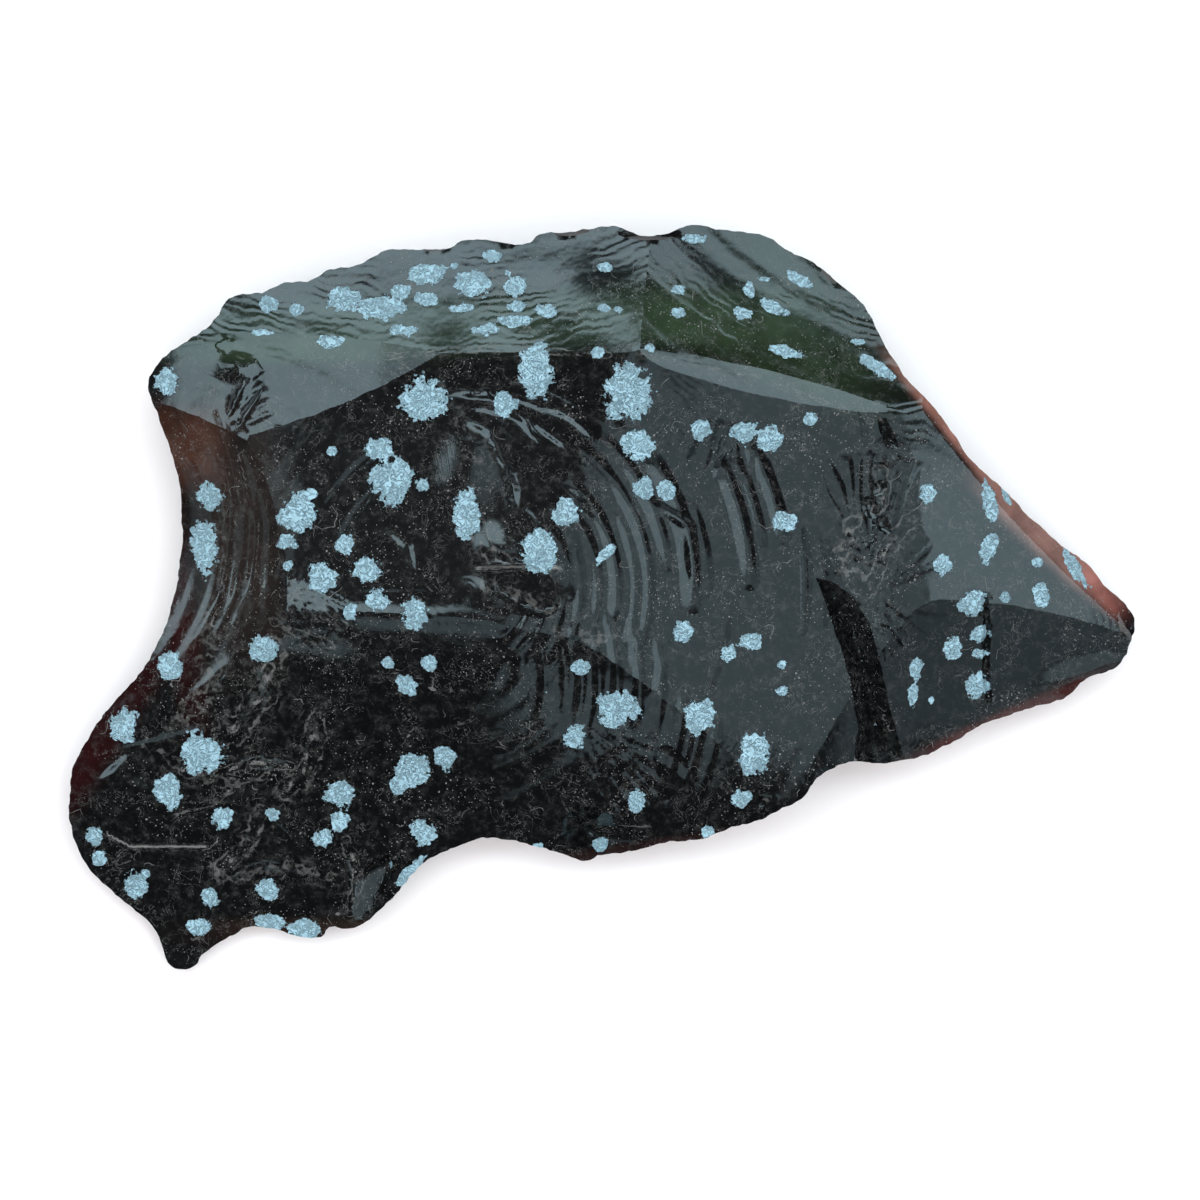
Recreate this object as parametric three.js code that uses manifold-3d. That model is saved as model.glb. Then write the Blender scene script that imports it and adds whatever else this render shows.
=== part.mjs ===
// A chunk of snowflake obsidian, broken by blows: one solid piece of volcanic glass.
//
// Millimetres, +Z up, +X along the longest side. The chunk lies on the flat scar of its underside,
// with its origin on the surface it rests on, below the middle of its outline.
//
// Glass breaks along hollow, shell-like scars. Each scar here is a piece of a large ball's surface,
// given by three points that the broken face runs through and by the ball's radius. The chunk is a
// blank of its outline with every scar's ball cut away, so the sharp ridges form by themselves
// where two neighbouring scars meet.

import * as THREE from 'three';
import { mergeVertices } from 'three/addons/utils/BufferGeometryUtils.js';
import Module from 'manifold-3d';

const wasm = await Module();
wasm.setup();

// Driving dimensions.
const BLANK_HEIGHT = 20;
const SCAR_REACH = 27;      // how far a scar is cut from the middle of its three points
const SCAR_CLEARANCE = 45;  // how far its cutter goes on outwards, past the blank
const RING_STEP = 3.2;      // spacing of the facets that stand for a curved scar
const SIDES = 36;           // sides of a cutter around its own axis

const GLASS = { color: 0x0f0f10, roughness: 0.1, metalness: 0 };

// Outline seen from above, clockwise from the left corner, point by point where the rim turns.
const TOP_RIM = [
  [-33.7, 16.4], [-32.2, 18.4], [-29.9, 19.8], [-28.7, 21.1], [-27.7, 22.4], [-25.3, 23.0],
  [-23.6, 23.6], [-21.6, 23.9], [-20.2, 24.6], [-18.2, 24.9], [-16.1, 26.0], [-13.5, 26.1],
  [-11.5, 26.1], [-10.4, 26.7], [-8.3, 26.7], [-6.7, 26.4], [-5.3, 26.5], [-4.2, 27.2],
  [-0.9, 27.5], [1.0, 27.8], [2.9, 27.0], [4.7, 27.1], [6.6, 27.8], [9.6, 27.4],
  [12.2, 27.0], [14.1, 25.9], [15.9, 25.1], [17.6, 23.5], [19.4, 22.0], [20.6, 19.9],
];
const RIGHT_SLOPE = [
  [21.3, 18.3], [22.6, 16.4], [24.1, 14.8], [25.8, 12.7], [27.5, 10.4], [29.9, 8.2],
  [32.1, 6.1], [34.3, 4.1], [36.3, 2.8], [37.6, 1.2], [39.3, -0.3],
];
const RIGHT_TIP = [[40.0, -1.9], [39.4, -3.7], [38.5, -5.0]];
const BOTTOM_RIM = [
  [36.4, -5.9], [34.6, -7.3], [32.3, -8.0], [29.1, -9.1], [27.6, -9.8], [25.8, -10.8],
  [24.1, -11.6], [20.8, -12.2], [18.4, -12.0], [16.1, -13.2], [14.8, -14.7], [12.2, -16.1],
  [9.0, -17.2], [7.3, -17.8], [4.0, -18.2], [1.8, -18.9], [0.0, -19.0], [-1.3, -19.6],
  [-2.9, -19.0], [-6.1, -18.1], [-8.3, -17.7], [-10.5, -18.3], [-12.8, -19.3],
];
const LOWER_LOBE = [
  [-14.4, -20.7], [-16.1, -22.8], [-18.6, -24.6], [-20.5, -24.6], [-21.1, -25.3], [-23.2, -25.2],
  [-26.1, -24.5], [-27.8, -25.2], [-29.9, -26.5], [-30.8, -27.7], [-32.2, -27.8], [-32.9, -27.0],
  [-33.5, -24.9], [-35.3, -23.2], [-37.2, -21.6], [-38.7, -19.9], [-39.6, -18.0], [-40.0, -15.2],
  [-39.6, -12.6], [-38.4, -10.2], [-36.8, -7.9], [-34.7, -5.6], [-33.2, -3.1],
];
const LEFT_NOTCH = [[-32.0, 0.3], [-31.4, 3.8], [-31.4, 7.5], [-32.0, 10.8], [-33.1, 13.8]];
const OUTLINE = [
  ...TOP_RIM, ...RIGHT_SLOPE, ...RIGHT_TIP, ...BOTTOM_RIM, ...LOWER_LOBE, ...LEFT_NOTCH,
];

// Scars of the upper face: three points of each and its ball's radius.
const UPPER_SCARS = {
  mainHollow: { through: [[-25.3, 12.5, 10.7], [-12.0, 18.5, 13.05], [-3.1, -2.9, 13.5]], radius: 200 },
  middleFace: { through: [[2.5, 17.0, 15.8], [-4.0, -1.5, 12.9], [3.0, 5.0, 13.7]], radius: 150 },
  rightFace: { through: [[2.9, 17.6, 15.9], [22.3, 13.2, 12.8], [8.8, -11.9, 10.3]], radius: 120 },
  backSlopeLeft: { through: [[-29.9, 19.8, 9.6], [-0.1, 18.4, 15.3], [-9.8, 26.7, 9.9]], radius: 400 },
  backSlopeRight: { through: [[3.2, 18.2, 15.9], [24.5, 13.5, 12.7], [14.1, 26.5, 9.8]], radius: 130 },
  ridgeBevelLeft: {
    through: [[-29.9, 19.8, 9.6], [-12.0, 18.5, 13.0], [-25.3, 12.5, 10.7]], radius: 120,
  },
  ridgeBevelRight: { through: [[2.9, 18.2, 15.9], [13.7, 16.6, 13.5], [11.8, 7.5, 14.9]], radius: 75 },
  leftCorner: { through: [[-29.9, 19.8, 9.6], [-25.3, 12.5, 10.9], [-33.8, 15.5, 8.4]], radius: 60 },
  notch: { through: [[-32.9, 12.7, 7.8], [-24.3, 6.0, 10.2], [-32.5, -2.2, 5.8]], radius: 40 },
  lobe: { through: [[-25.1, -2.9, 9.6], [-37.8, -10.4, 5.6], [-22.5, -21.0, 6.6]], radius: 110 },
  lowerHollow: { through: [[-19.5, -1.1, 10.6], [-3.1, -2.9, 13.2], [-9.8, -17.9, 6.6]], radius: 130 },
  bottomHollow: { through: [[-0.1, -3.7, 12.4], [8.8, -10.8, 10.3], [0.5, -18.6, 5.9]], radius: 80 },
  rightWing: { through: [[20.0, 12.7, 13.5], [20.8, 0, 11.4], [39.3, -1.5, 6.0]], radius: 120 },
  lowerWing: { through: [[25.2, 1.3, 10.4], [39.3, -3.2, 5.7], [29.0, -9.1, 5.6]], radius: 70 },
  rightEdge: { through: [[24.2, 13.9, 12.0], [37.9, -0.6, 6.2], [34.9, 7.3, 5.6]], radius: 90 },
};

// Scars of the underside, around the flat one that the chunk rests on.
const LOWER_SCARS = {
  underBack: { through: [[-22.5, 23.9, 6.4], [7.3, 27.8, 7.2], [-9.1, 13.5, 0]], radius: 75 },
  underBackRight: { through: [[7.3, 27.8, 6.2], [25.6, 12.9, 6.6], [8.8, 12.7, 0]], radius: 75 },
  underRight: { through: [[25.6, 12.9, 6.6], [39.9, -1.8, 3.6], [17.0, 3.0, 0]], radius: 70 },
  underWing: { through: [[39.9, -1.8, 3.4], [18.5, -12.0, 3.4], [14.8, -1.5, 0]], radius: 80 },
  underBottom: { through: [[18.5, -12.0, 4.6], [-2.0, -19.3, 4.2], [2.9, -7.4, 0]], radius: 50 },
  underHollow: { through: [[-2.0, -19.3, 4.4], [-22.5, -25.3, 2.4], [-12.8, -7.4, 0]], radius: 60 },
  underLobe: { through: [[-31.8, -27.8, 1.2], [-40.0, -14.9, 2.6], [-20.2, -4.4, 0]], radius: 70 },
  underNotch: { through: [[-32.5, -1.5, 4.0], [-33.7, 16.1, 4.6], [-20.2, 6.0, 0]], radius: 55 },
  underCorner: { through: [[-33.7, 16.1, 4.6], [-22.5, 23.9, 6.4], [-16.5, 12.0, 0]], radius: 60 },
};

// A closed geometry as a solid that can be cut.
function solid(geometry) {
  const bare = geometry.clone();
  bare.deleteAttribute('normal');
  bare.deleteAttribute('uv');
  const merged = mergeVertices(bare, 1e-4);
  return new wasm.Manifold(new wasm.Mesh({
    numProp: 3,
    vertProperties: new Float32Array(merged.attributes.position.array),
    triVerts: new Uint32Array(merged.index.array),
  }));
}

// A solid as a geometry with flat facets.
function facets(body) {
  const mesh = body.getMesh();
  const geometry = new THREE.BufferGeometry();
  geometry.setAttribute('position', new THREE.BufferAttribute(mesh.vertProperties, 3));
  geometry.setIndex(new THREE.BufferAttribute(mesh.triVerts, 1));
  geometry.computeVertexNormals();
  return geometry;
}

// The outline drawn straight up, before any scar.
function blank() {
  const shape = new THREE.Shape(OUTLINE.map(([x, y]) => new THREE.Vector2(x, y)));
  return solid(new THREE.ExtrudeGeometry(shape, { depth: BLANK_HEIGHT, bevelEnabled: false }));
}

// Where a scar's ball lies: its pole is the deepest point of the hollow, and outwards points from
// the pole through the ball's centre, up (side +1) or down (side -1).
function placeBall({ through, radius }, side) {
  const triangle = new THREE.Triangle(...through.map((point) => new THREE.Vector3(...point)));
  const outwards = triangle.getNormal(new THREE.Vector3());
  if (outwards.z * side < 0) {
    outwards.negate();
  }
  const a = triangle.a.distanceTo(triangle.b);
  const b = triangle.b.distanceTo(triangle.c);
  const c = triangle.c.distanceTo(triangle.a);
  const circle = (a * b * c) / (4 * triangle.getArea());
  const weights = [b * b * (a * a + c * c - b * b), c * c * (a * a + b * b - c * c),
    a * a * (b * b + c * c - a * a)];
  const sum = weights[0] + weights[1] + weights[2];
  const middle = new THREE.Vector3()
    .addScaledVector(triangle.a, weights[0] / sum)
    .addScaledVector(triangle.b, weights[1] / sum)
    .addScaledVector(triangle.c, weights[2] / sum);
  const rise = Math.sqrt(radius * radius - circle * circle);
  const pole = middle.addScaledVector(outwards, rise - radius);
  return { pole, outwards };
}

// The cutter of one scar: a cap of its ball that goes straight on outwards.
function cutter(scar, side) {
  const { pole, outwards } = placeBall(scar, side);
  const { radius } = scar;
  const opening = Math.asin(Math.min(SCAR_REACH / radius, 1));
  const rings = Math.ceil((radius * opening) / RING_STEP);
  const profile = [];
  for (let ring = 0; ring <= rings; ring += 1) {
    const angle = (opening * ring) / rings;
    profile.push(new THREE.Vector2(radius * Math.sin(angle), radius * (1 - Math.cos(angle))));
  }
  profile.push(new THREE.Vector2(profile[rings].x, SCAR_CLEARANCE));
  profile.push(new THREE.Vector2(0, SCAR_CLEARANCE));
  const cap = new THREE.LatheGeometry(profile, SIDES);
  cap.applyQuaternion(new THREE.Quaternion().setFromUnitVectors(new THREE.Vector3(0, 1, 0), outwards));
  cap.translate(pole.x, pole.y, pole.z);
  return solid(cap);
}

function obsidianChunk() {
  let chunk = blank();
  for (const scar of Object.values(UPPER_SCARS)) {
    chunk = chunk.subtract(cutter(scar, 1));
  }
  for (const scar of Object.values(LOWER_SCARS)) {
    chunk = chunk.subtract(cutter(scar, -1));
  }
  const mesh = new THREE.Mesh(facets(chunk), new THREE.MeshStandardMaterial(GLASS));
  mesh.name = 'obsidian_chunk';
  return mesh;
}

const part = new THREE.Group();
part.add(obsidianChunk());
export default part;
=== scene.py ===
"""A chunk of snowflake obsidian: the fine broken surface, its crystals, dust and lint.

The chunk's outline and large scars repeat those of the CAD part, in millimetres. Finer scars,
ripples and chips are carved into a dense mesh of the same shape, which stands for the CAD solid.
"""
import math

import bpy
import numpy as np
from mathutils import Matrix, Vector
from mathutils.bvhtree import BVHTree
from mathutils.geometry import delaunay_2d_cdt


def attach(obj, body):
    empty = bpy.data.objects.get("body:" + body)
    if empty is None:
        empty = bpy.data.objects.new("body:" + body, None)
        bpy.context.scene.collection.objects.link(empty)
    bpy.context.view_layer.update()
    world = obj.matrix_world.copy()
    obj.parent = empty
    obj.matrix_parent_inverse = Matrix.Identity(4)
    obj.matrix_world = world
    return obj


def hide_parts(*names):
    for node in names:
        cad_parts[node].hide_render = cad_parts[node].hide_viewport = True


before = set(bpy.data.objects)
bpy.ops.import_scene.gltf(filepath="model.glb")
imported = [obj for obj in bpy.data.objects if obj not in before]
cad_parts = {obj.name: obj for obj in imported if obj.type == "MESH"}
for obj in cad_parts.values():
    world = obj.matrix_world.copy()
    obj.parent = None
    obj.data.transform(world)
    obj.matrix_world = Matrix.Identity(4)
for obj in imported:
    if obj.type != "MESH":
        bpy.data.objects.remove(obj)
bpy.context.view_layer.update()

MM = 0.001

# The surfaces, in mm.
BLANK_HEIGHT = 20
FRONT_STEP = 0.24    # mm between the points of the upper surface
UNDER_STEP = 0.55    # mm between the points of the underside
RIM_STEP = 0.28      # mm between the points of the rim
JITTER = 0.12        # how far a point inside the rim is moved at random, as a share of the step
RIM_GAP = 0.6        # the nearest that such a point comes to the rim, as a share of the step
BATCH = 4096         # points measured at one go
SNAP = 0.18          # a cut this near to a point, as a share of the edge, moves onto the point
SAME_POINT = 1e-7    # points nearer than this are one
FAR = 99.0           # beyond any part of the chunk
SEED = 7

# Gentle random surfaces: (wavelength, height) of each kind of wave, in mm.
RIM_ROUGHNESS = [(3.0, 0.05), (1.1, 0.035), (0.5, 0.015)]
COARSE_RIPPLES = [(2.4, 0.016), (1.5, 0.011)]
SWELL = [(16.0, 0.05), (7.0, 0.018)]
SCAR_ROUGHNESS = [(1.3, 0.05)]
WAVES_OF_A_KIND = 6
WAVE_STRETCH = (0.7, 1.4)   # shortest and longest wave of a kind, as a share of its wavelength
WAVES_TOGETHER = 2.4        # about how much higher the waves of a kind are together than one

# Small scars, in mm.
WALL_SLOPE = 1.3      # how steep the broken side of a small scar is
SCAR_BOWL = 40.0      # radius of a small scar's hollow floor
OUTER_SLOPE = 1.7     # how much steeper a groove is on its outer side
STREAK_FADE = 2.0     # mm over which a streak runs out
CRACK_WIDTH = 0.3
CRACK_DEPTH = 0.35

# The broken edge, and the short scars under it as (least, most), in mm.
RIM_THICKNESS = 0.25
JUST_INSIDE = 0.1     # how far inside the rim the upper face's height is taken
RIM_REACH = 3         # points of the rim to either side that give its direction
BEVEL_STEEPNESS = (0.8, 1.3)
BEVEL_RADIUS = (5, 9)
BEVEL_SPACING = (2.0, 4.5)
LEAST_BEVEL = 0.4     # width
BEVEL_HOLLOW = 0.1    # depth

UNDER_NUMBER = 100    # added to the number of an underside scar
WALL_NUMBER = 900     # the number of the broken edge all round
SHARP_BETWEEN = math.cos(math.radians(3))    # two scars meet in a sharp edge from this angle on
SHARP_WITHIN = math.cos(math.radians(35))    # and one scar has a sharp edge

# Random snowflakes of the underside and the rim, in mm.
HIDDEN_FLAKES = 130
HIDDEN_PLACE = (40, 28)        # they lie within this of the middle
HIDDEN_SIZE = (0.5, 1.5)       # least and most half size
HIDDEN_COVER = 1.2             # glass above one, at least
HIDDEN_HEIGHT = (-0.2, 0.5)    # of its middle above the underside, as a share of its half size
HIDDEN_STRETCH = (0.7, 1.2)
FLAKE_REACH = 3                # half sizes beyond which a snowflake isn't noted
NO_FLAKE = 9.0                 # what is noted there instead

# Soft light panels above the chunk: (x, y, width, depth, watts per square metre), in metres.
WINDOWS = {
    "back_left": (-0.54, 1.06, 0.86, 0.29, 17),
    "back_right": (0.74, 0.86, 0.66, 0.28, 13),
    "near": (0.13, 0.24, 1.56, 0.26, 14),
    "corner": (-0.86, 0.00, 0.42, 0.32, 14),
    "middle": (-0.08, -0.21, 0.34, 0.34, 3.2),
    "right": (0.30, -0.34, 0.44, 0.50, 4.2),
    "wing": (0.84, -0.28, 0.60, 0.44, 9.5),
    "far_left": (-1.55, -0.35, 0.90, 1.00, 1.4),
    "low_right": (0.86, -0.98, 1.16, 0.70, 2.2),
    "low_left": (-0.42, -1.42, 0.70, 0.50, 3.7),
}
SKYLIGHT = (0.63, 0.87, 0.96)
# Each panel's two layers, which give it a soft edge: (height in metres, size).
PANEL_LAYERS = [(1.0, 0.92), (1.01, 1.08)]
DARK_ROOM = (0.035, 0.038, 0.042, 1)
# The fill, the floor and the camera, in metres.
FILL_PLACE = (0, 0, 1.4)
FILL_SIZE = (2.2, 2.2)
FILL_STRENGTH = 7.8      # watts per square metre
FILL_COLOUR = (1.0, 0.84, 0.82)
FLOOR_REACH = 3.0
FLOOR_ROUGHNESS = 0.8
FLOOR_GREYS = [(0.86, 0.86, 0.86, 1), (0.9, 0.9, 0.9, 1)]
CAMERA_PLACE = (-0.00011, 0.00004, 0.5)
FOCUS_HEIGHT = 0.008     # the frame's width is measured at this height above the floor
FRAME_WIDTH = 0.08947
SENSOR_WIDTH = 36.0      # mm

BLACK_GLASS = (0.0022, 0.0024, 0.0026, 1)
DARK_CRYSTAL = (0.12, 0.19, 0.225, 1)
PALE_CRYSTAL = (0.275, 0.46, 0.54, 1)
# grey of the dust specks, and of the film with its painted reflections along the grooves
DUST_AND_SHEEN = (0.15, 0.155, 0.15, 1)
GLASS_IOR = 1.5
GLASS_ROUGHNESS = 0.10
# roughness of the film and of the painted reflections along the grooves
FILM_AND_SHEEN_ROUGHNESS = 0.4
DUST_ROUGHNESS = 0.7
CRYSTAL_ROUGHNESS = 0.5
RIPPLE_LENGTH = 0.62     # mm from one of the finest ripples to the next
# Heights of the bumps, in mm.
RIPPLE_HEIGHT = 0.002
STREAK_HEIGHT = 0.006
WAVE_HEIGHT = 0.012
CRYSTAL_HEIGHT = 0.10

# Painted light: colours added where light shines through the thin glass at the rim, and painted
# reflections of green and red surroundings on the back slope and the right edge: (place, half size,
# turn, colour), in mm.
PAINTED_LIGHT_TINTS = [
    ((-8, 20.5), (24, 2.2), 2, (0.012, 0.024, 0.012)),
    ((-22, 18.6), (8, 1.0), 0, (0.010, 0.018, 0.008)),
    ((12, 18.8), (10, 2.6), -20, (0.010, 0.019, 0.007)),
    ((14, 23.0), (7, 3.0), -50, (0.008, 0.015, 0.010)),
    ((-31, 11.5), (3.0, 3.0), 0, (0.046, 0.018, 0.010)),
    ((-27, 4.5), (3.5, 9), 0, (0.016, 0.011, 0.009)),
    ((-31.8, 1.5), (1.2, 11), 8, (0.012, 0.0, 0.0)),
    ((-37.0, -9), (1.8, 9), -32, (0.014, 0.0, 0.0)),
    ((-14, 7), (13, 9), 0, (0.004, 0.0042, 0.0042)),
    ((-20, -25), (10, 1.0), 0, (0.016, 0.008, 0.005)),
    ((1, -18.8), (12, 0.5), 9, (0.014, 0.005, 0.004)),
    ((30.6, -8.9), (7.6, 0.8), 24, (0.060, 0.016, 0.013)),
    ((25.6, 13.2), (6, 0.7), -50, (0.28, 0.13, 0.10)),
    ((33.2, 4.7), (6, 1.3), -42, (0.22, 0.12, 0.10)),
    ((37.4, 0.9), (2.6, 0.9), -48, (0.16, 0.05, 0.04)),
]

TOP_RIM = [
    (-33.7, 16.4), (-32.2, 18.4), (-29.9, 19.8), (-28.7, 21.1), (-27.7, 22.4), (-25.3, 23.0),
    (-23.6, 23.6), (-21.6, 23.9), (-20.2, 24.6), (-18.2, 24.9), (-16.1, 26.0), (-13.5, 26.1),
    (-11.5, 26.1), (-10.4, 26.7), (-8.3, 26.7), (-6.7, 26.4), (-5.3, 26.5), (-4.2, 27.2),
    (-0.9, 27.5), (1.0, 27.8), (2.9, 27.0), (4.7, 27.1), (6.6, 27.8), (9.6, 27.4),
    (12.2, 27.0), (14.1, 25.9), (15.9, 25.1), (17.6, 23.5), (19.4, 22.0), (20.6, 19.9),
]
RIGHT_SLOPE = [
    (21.3, 18.3), (22.6, 16.4), (24.1, 14.8), (25.8, 12.7), (27.5, 10.4), (29.9, 8.2),
    (32.1, 6.1), (34.3, 4.1), (36.3, 2.8), (37.6, 1.2), (39.3, -0.3),
]
RIGHT_TIP = [(40.0, -1.9), (39.4, -3.7), (38.5, -5.0)]
BOTTOM_RIM = [
    (36.4, -5.9), (34.6, -7.3), (32.3, -8.0), (29.1, -9.1), (27.6, -9.8), (25.8, -10.8),
    (24.1, -11.6), (20.8, -12.2), (18.4, -12.0), (16.1, -13.2), (14.8, -14.7), (12.2, -16.1),
    (9.0, -17.2), (7.3, -17.8), (4.0, -18.2), (1.8, -18.9), (0.0, -19.0), (-1.3, -19.6),
    (-2.9, -19.0), (-6.1, -18.1), (-8.3, -17.7), (-10.5, -18.3), (-12.8, -19.3),
]
LOWER_LOBE = [
    (-14.4, -20.7), (-16.1, -22.8), (-18.6, -24.6), (-20.5, -24.6), (-21.1, -25.3), (-23.2, -25.2),
    (-26.1, -24.5), (-27.8, -25.2), (-29.9, -26.5), (-30.8, -27.7), (-32.2, -27.8), (-32.9, -27.0),
    (-33.5, -24.9), (-35.3, -23.2), (-37.2, -21.6), (-38.7, -19.9), (-39.6, -18.0), (-40.0, -15.2),
    (-39.6, -12.6), (-38.4, -10.2), (-36.8, -7.9), (-34.7, -5.6), (-33.2, -3.1),
]
LEFT_NOTCH = [(-32.0, 0.3), (-31.4, 3.8), (-31.4, 7.5), (-32.0, 10.8), (-33.1, 13.8)]
OUTLINE = TOP_RIM + RIGHT_SLOPE + RIGHT_TIP + BOTTOM_RIM + LOWER_LOBE + LEFT_NOTCH

# The large scars of the upper face. Each is a part of a ball's surface through three points.
# strike is the blow's point, which the scar's ripples run round; ripple is their strength; soft is
# how far, in mm, the scar's edge is rounded into the scars before it.
UPPER_SCARS = {
    "main_hollow": dict(
        through=[(-25.3, 12.5, 10.7), (-12.0, 18.5, 13.05), (-3.1, -2.9, 13.5)], radius=200,
        strike=(-9.8, 0.8), ripple=0.25),
    "middle_face": dict(
        through=[(2.5, 17.0, 15.8), (-4.0, -1.5, 12.9), (3.0, 5.0, 13.7)], radius=150,
        strike=(-9.8, 0.8), ripple=1.8, soft=0.5),
    "right_face": dict(
        through=[(2.9, 17.6, 15.9), (22.3, 13.2, 12.8), (8.8, -11.9, 10.3)], radius=120,
        strike=(-9.8, 0.8), ripple=0.5, soft=0.5),
    "back_slope_left": dict(
        through=[(-29.9, 19.8, 9.6), (-0.1, 18.4, 15.3), (-9.8, 26.7, 9.9)], radius=400,
        strike=(-12, 70), ripple=0.15),
    "back_slope_right": dict(
        through=[(3.2, 18.2, 15.9), (24.5, 13.5, 12.7), (14.1, 26.5, 9.8)], radius=130,
        strike=(30, 50), ripple=0.8),
    "ridge_bevel_left": dict(
        through=[(-29.9, 19.8, 9.6), (-12.0, 18.5, 13.0), (-25.3, 12.5, 10.7)], radius=120,
        strike=(-30, 0), ripple=0.5),
    "ridge_bevel_right": dict(
        through=[(2.9, 18.2, 15.9), (13.7, 16.6, 13.5), (11.8, 7.5, 14.9)], radius=75,
        strike=(0, 0), ripple=0.6),
    "left_corner": dict(
        through=[(-29.9, 19.8, 9.6), (-25.3, 12.5, 10.9), (-33.8, 15.5, 8.4)], radius=60,
        strike=(-30, 12), ripple=0.8),
    "notch": dict(
        through=[(-32.9, 12.7, 7.8), (-24.3, 6.0, 10.2), (-32.5, -2.2, 5.8)], radius=40,
        strike=(-44, 6), ripple=1.6),
    "lobe": dict(
        through=[(-25.1, -2.9, 9.6), (-37.8, -10.4, 5.6), (-22.5, -21.0, 6.6)], radius=110,
        strike=(-36, 2), ripple=1.4),
    "lower_hollow": dict(
        through=[(-19.5, -1.1, 10.6), (-3.1, -2.9, 13.2), (-9.8, -17.9, 6.6)], radius=130,
        strike=(-27, -1), ripple=0.3),
    "bottom_hollow": dict(
        through=[(-0.1, -3.7, 12.4), (8.8, -10.8, 10.3), (0.5, -18.6, 5.9)], radius=80,
        strike=(-10, -4), ripple=1.5),
    "right_wing": dict(
        through=[(20.0, 12.7, 13.5), (20.8, 0.0, 11.4), (39.3, -1.5, 6.0)], radius=120,
        strike=(20, 0), ripple=0.3, soft=0.5),
    "lower_wing": dict(
        through=[(25.2, 1.3, 10.4), (39.3, -3.2, 5.7), (29.0, -9.1, 5.6)], radius=70,
        strike=(26, 10), ripple=0.7),
    "right_edge": dict(
        through=[(24.2, 13.9, 12.0), (37.9, -0.6, 6.2), (34.9, 7.3, 5.6)], radius=90,
        strike=(20, 30), ripple=0.4),
}

# The large scars of the underside, around the flat one that the chunk rests on.
LOWER_SCARS = {
    "under_back": dict(
        through=[(-22.5, 23.9, 6.4), (7.3, 27.8, 7.2), (-9.1, 13.5, 0)], radius=75, strike=(-8, 32)),
    "under_back_right": dict(
        through=[(7.3, 27.8, 6.2), (25.6, 12.9, 6.6), (8.8, 12.7, 0)], radius=75, strike=(24, 26)),
    "under_right": dict(
        through=[(25.6, 12.9, 6.6), (39.9, -1.8, 3.6), (17.0, 3.0, 0)], radius=70, strike=(36, 8)),
    "under_wing": dict(
        through=[(39.9, -1.8, 3.4), (18.5, -12.0, 3.4), (14.8, -1.5, 0)], radius=80, strike=(32, -12)),
    "under_bottom": dict(
        through=[(18.5, -12.0, 4.6), (-2.0, -19.3, 4.2), (2.9, -7.4, 0)], radius=50, strike=(8, -22)),
    "under_hollow": dict(
        through=[(-2.0, -19.3, 4.4), (-22.5, -25.3, 2.4), (-12.8, -7.4, 0)], radius=60,
        strike=(-12, -26)),
    "under_lobe": dict(
        through=[(-31.8, -27.8, 1.2), (-40.0, -14.9, 2.6), (-20.2, -4.4, 0)], radius=70,
        strike=(-40, -24)),
    "under_notch": dict(
        through=[(-32.5, -1.5, 4.0), (-33.7, 16.1, 4.6), (-20.2, 6.0, 0)], radius=55, strike=(-38, 6)),
    "under_corner": dict(
        through=[(-33.7, 16.1, 4.6), (-22.5, 23.9, 6.4), (-16.5, 12.0, 0)], radius=60, strike=(-32, 26)),
}


def ball_through(points, radius, side):
    """The centre of a ball of that radius through three points, above them for side 1."""
    a, b, c = (np.array(point, float) for point in points)
    along, across = b - a, c - a
    normal = np.cross(along, across)
    middle = a + (
        np.cross(normal, along) * across.dot(across) + np.cross(across, normal) * along.dot(along)
    ) / (2 * normal.dot(normal))
    outwards = normal / np.linalg.norm(normal)
    if outwards[2] * side < 0:
        outwards = -outwards
    circle = np.linalg.norm(middle - a)
    return middle + outwards * math.sqrt(radius**2 - circle**2)


def ball_height(scar, side, x, y):
    """The height of a scar's ball over x, y: its near side, or far away where it doesn't reach."""
    centre = ball_through(scar["through"], scar["radius"], side)
    inside = scar["radius"] ** 2 - (x - centre[0]) ** 2 - (y - centre[1]) ** 2
    return np.where(inside > 0, centre[2] - side * np.sqrt(np.maximum(inside, 0)), side * FAR)


def upper_height(x, y):
    """The height of the upper face over x, y, from its large scars alone."""
    return np.min([ball_height(scar, 1, x, y) for scar in UPPER_SCARS.values()], axis=0)


def lower_height(x, y):
    """The height of the underside over x, y, from its large scars alone."""
    balls = [ball_height(scar, -1, x, y) for scar in LOWER_SCARS.values()]
    return np.maximum(np.max(balls, axis=0), 0)


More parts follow.
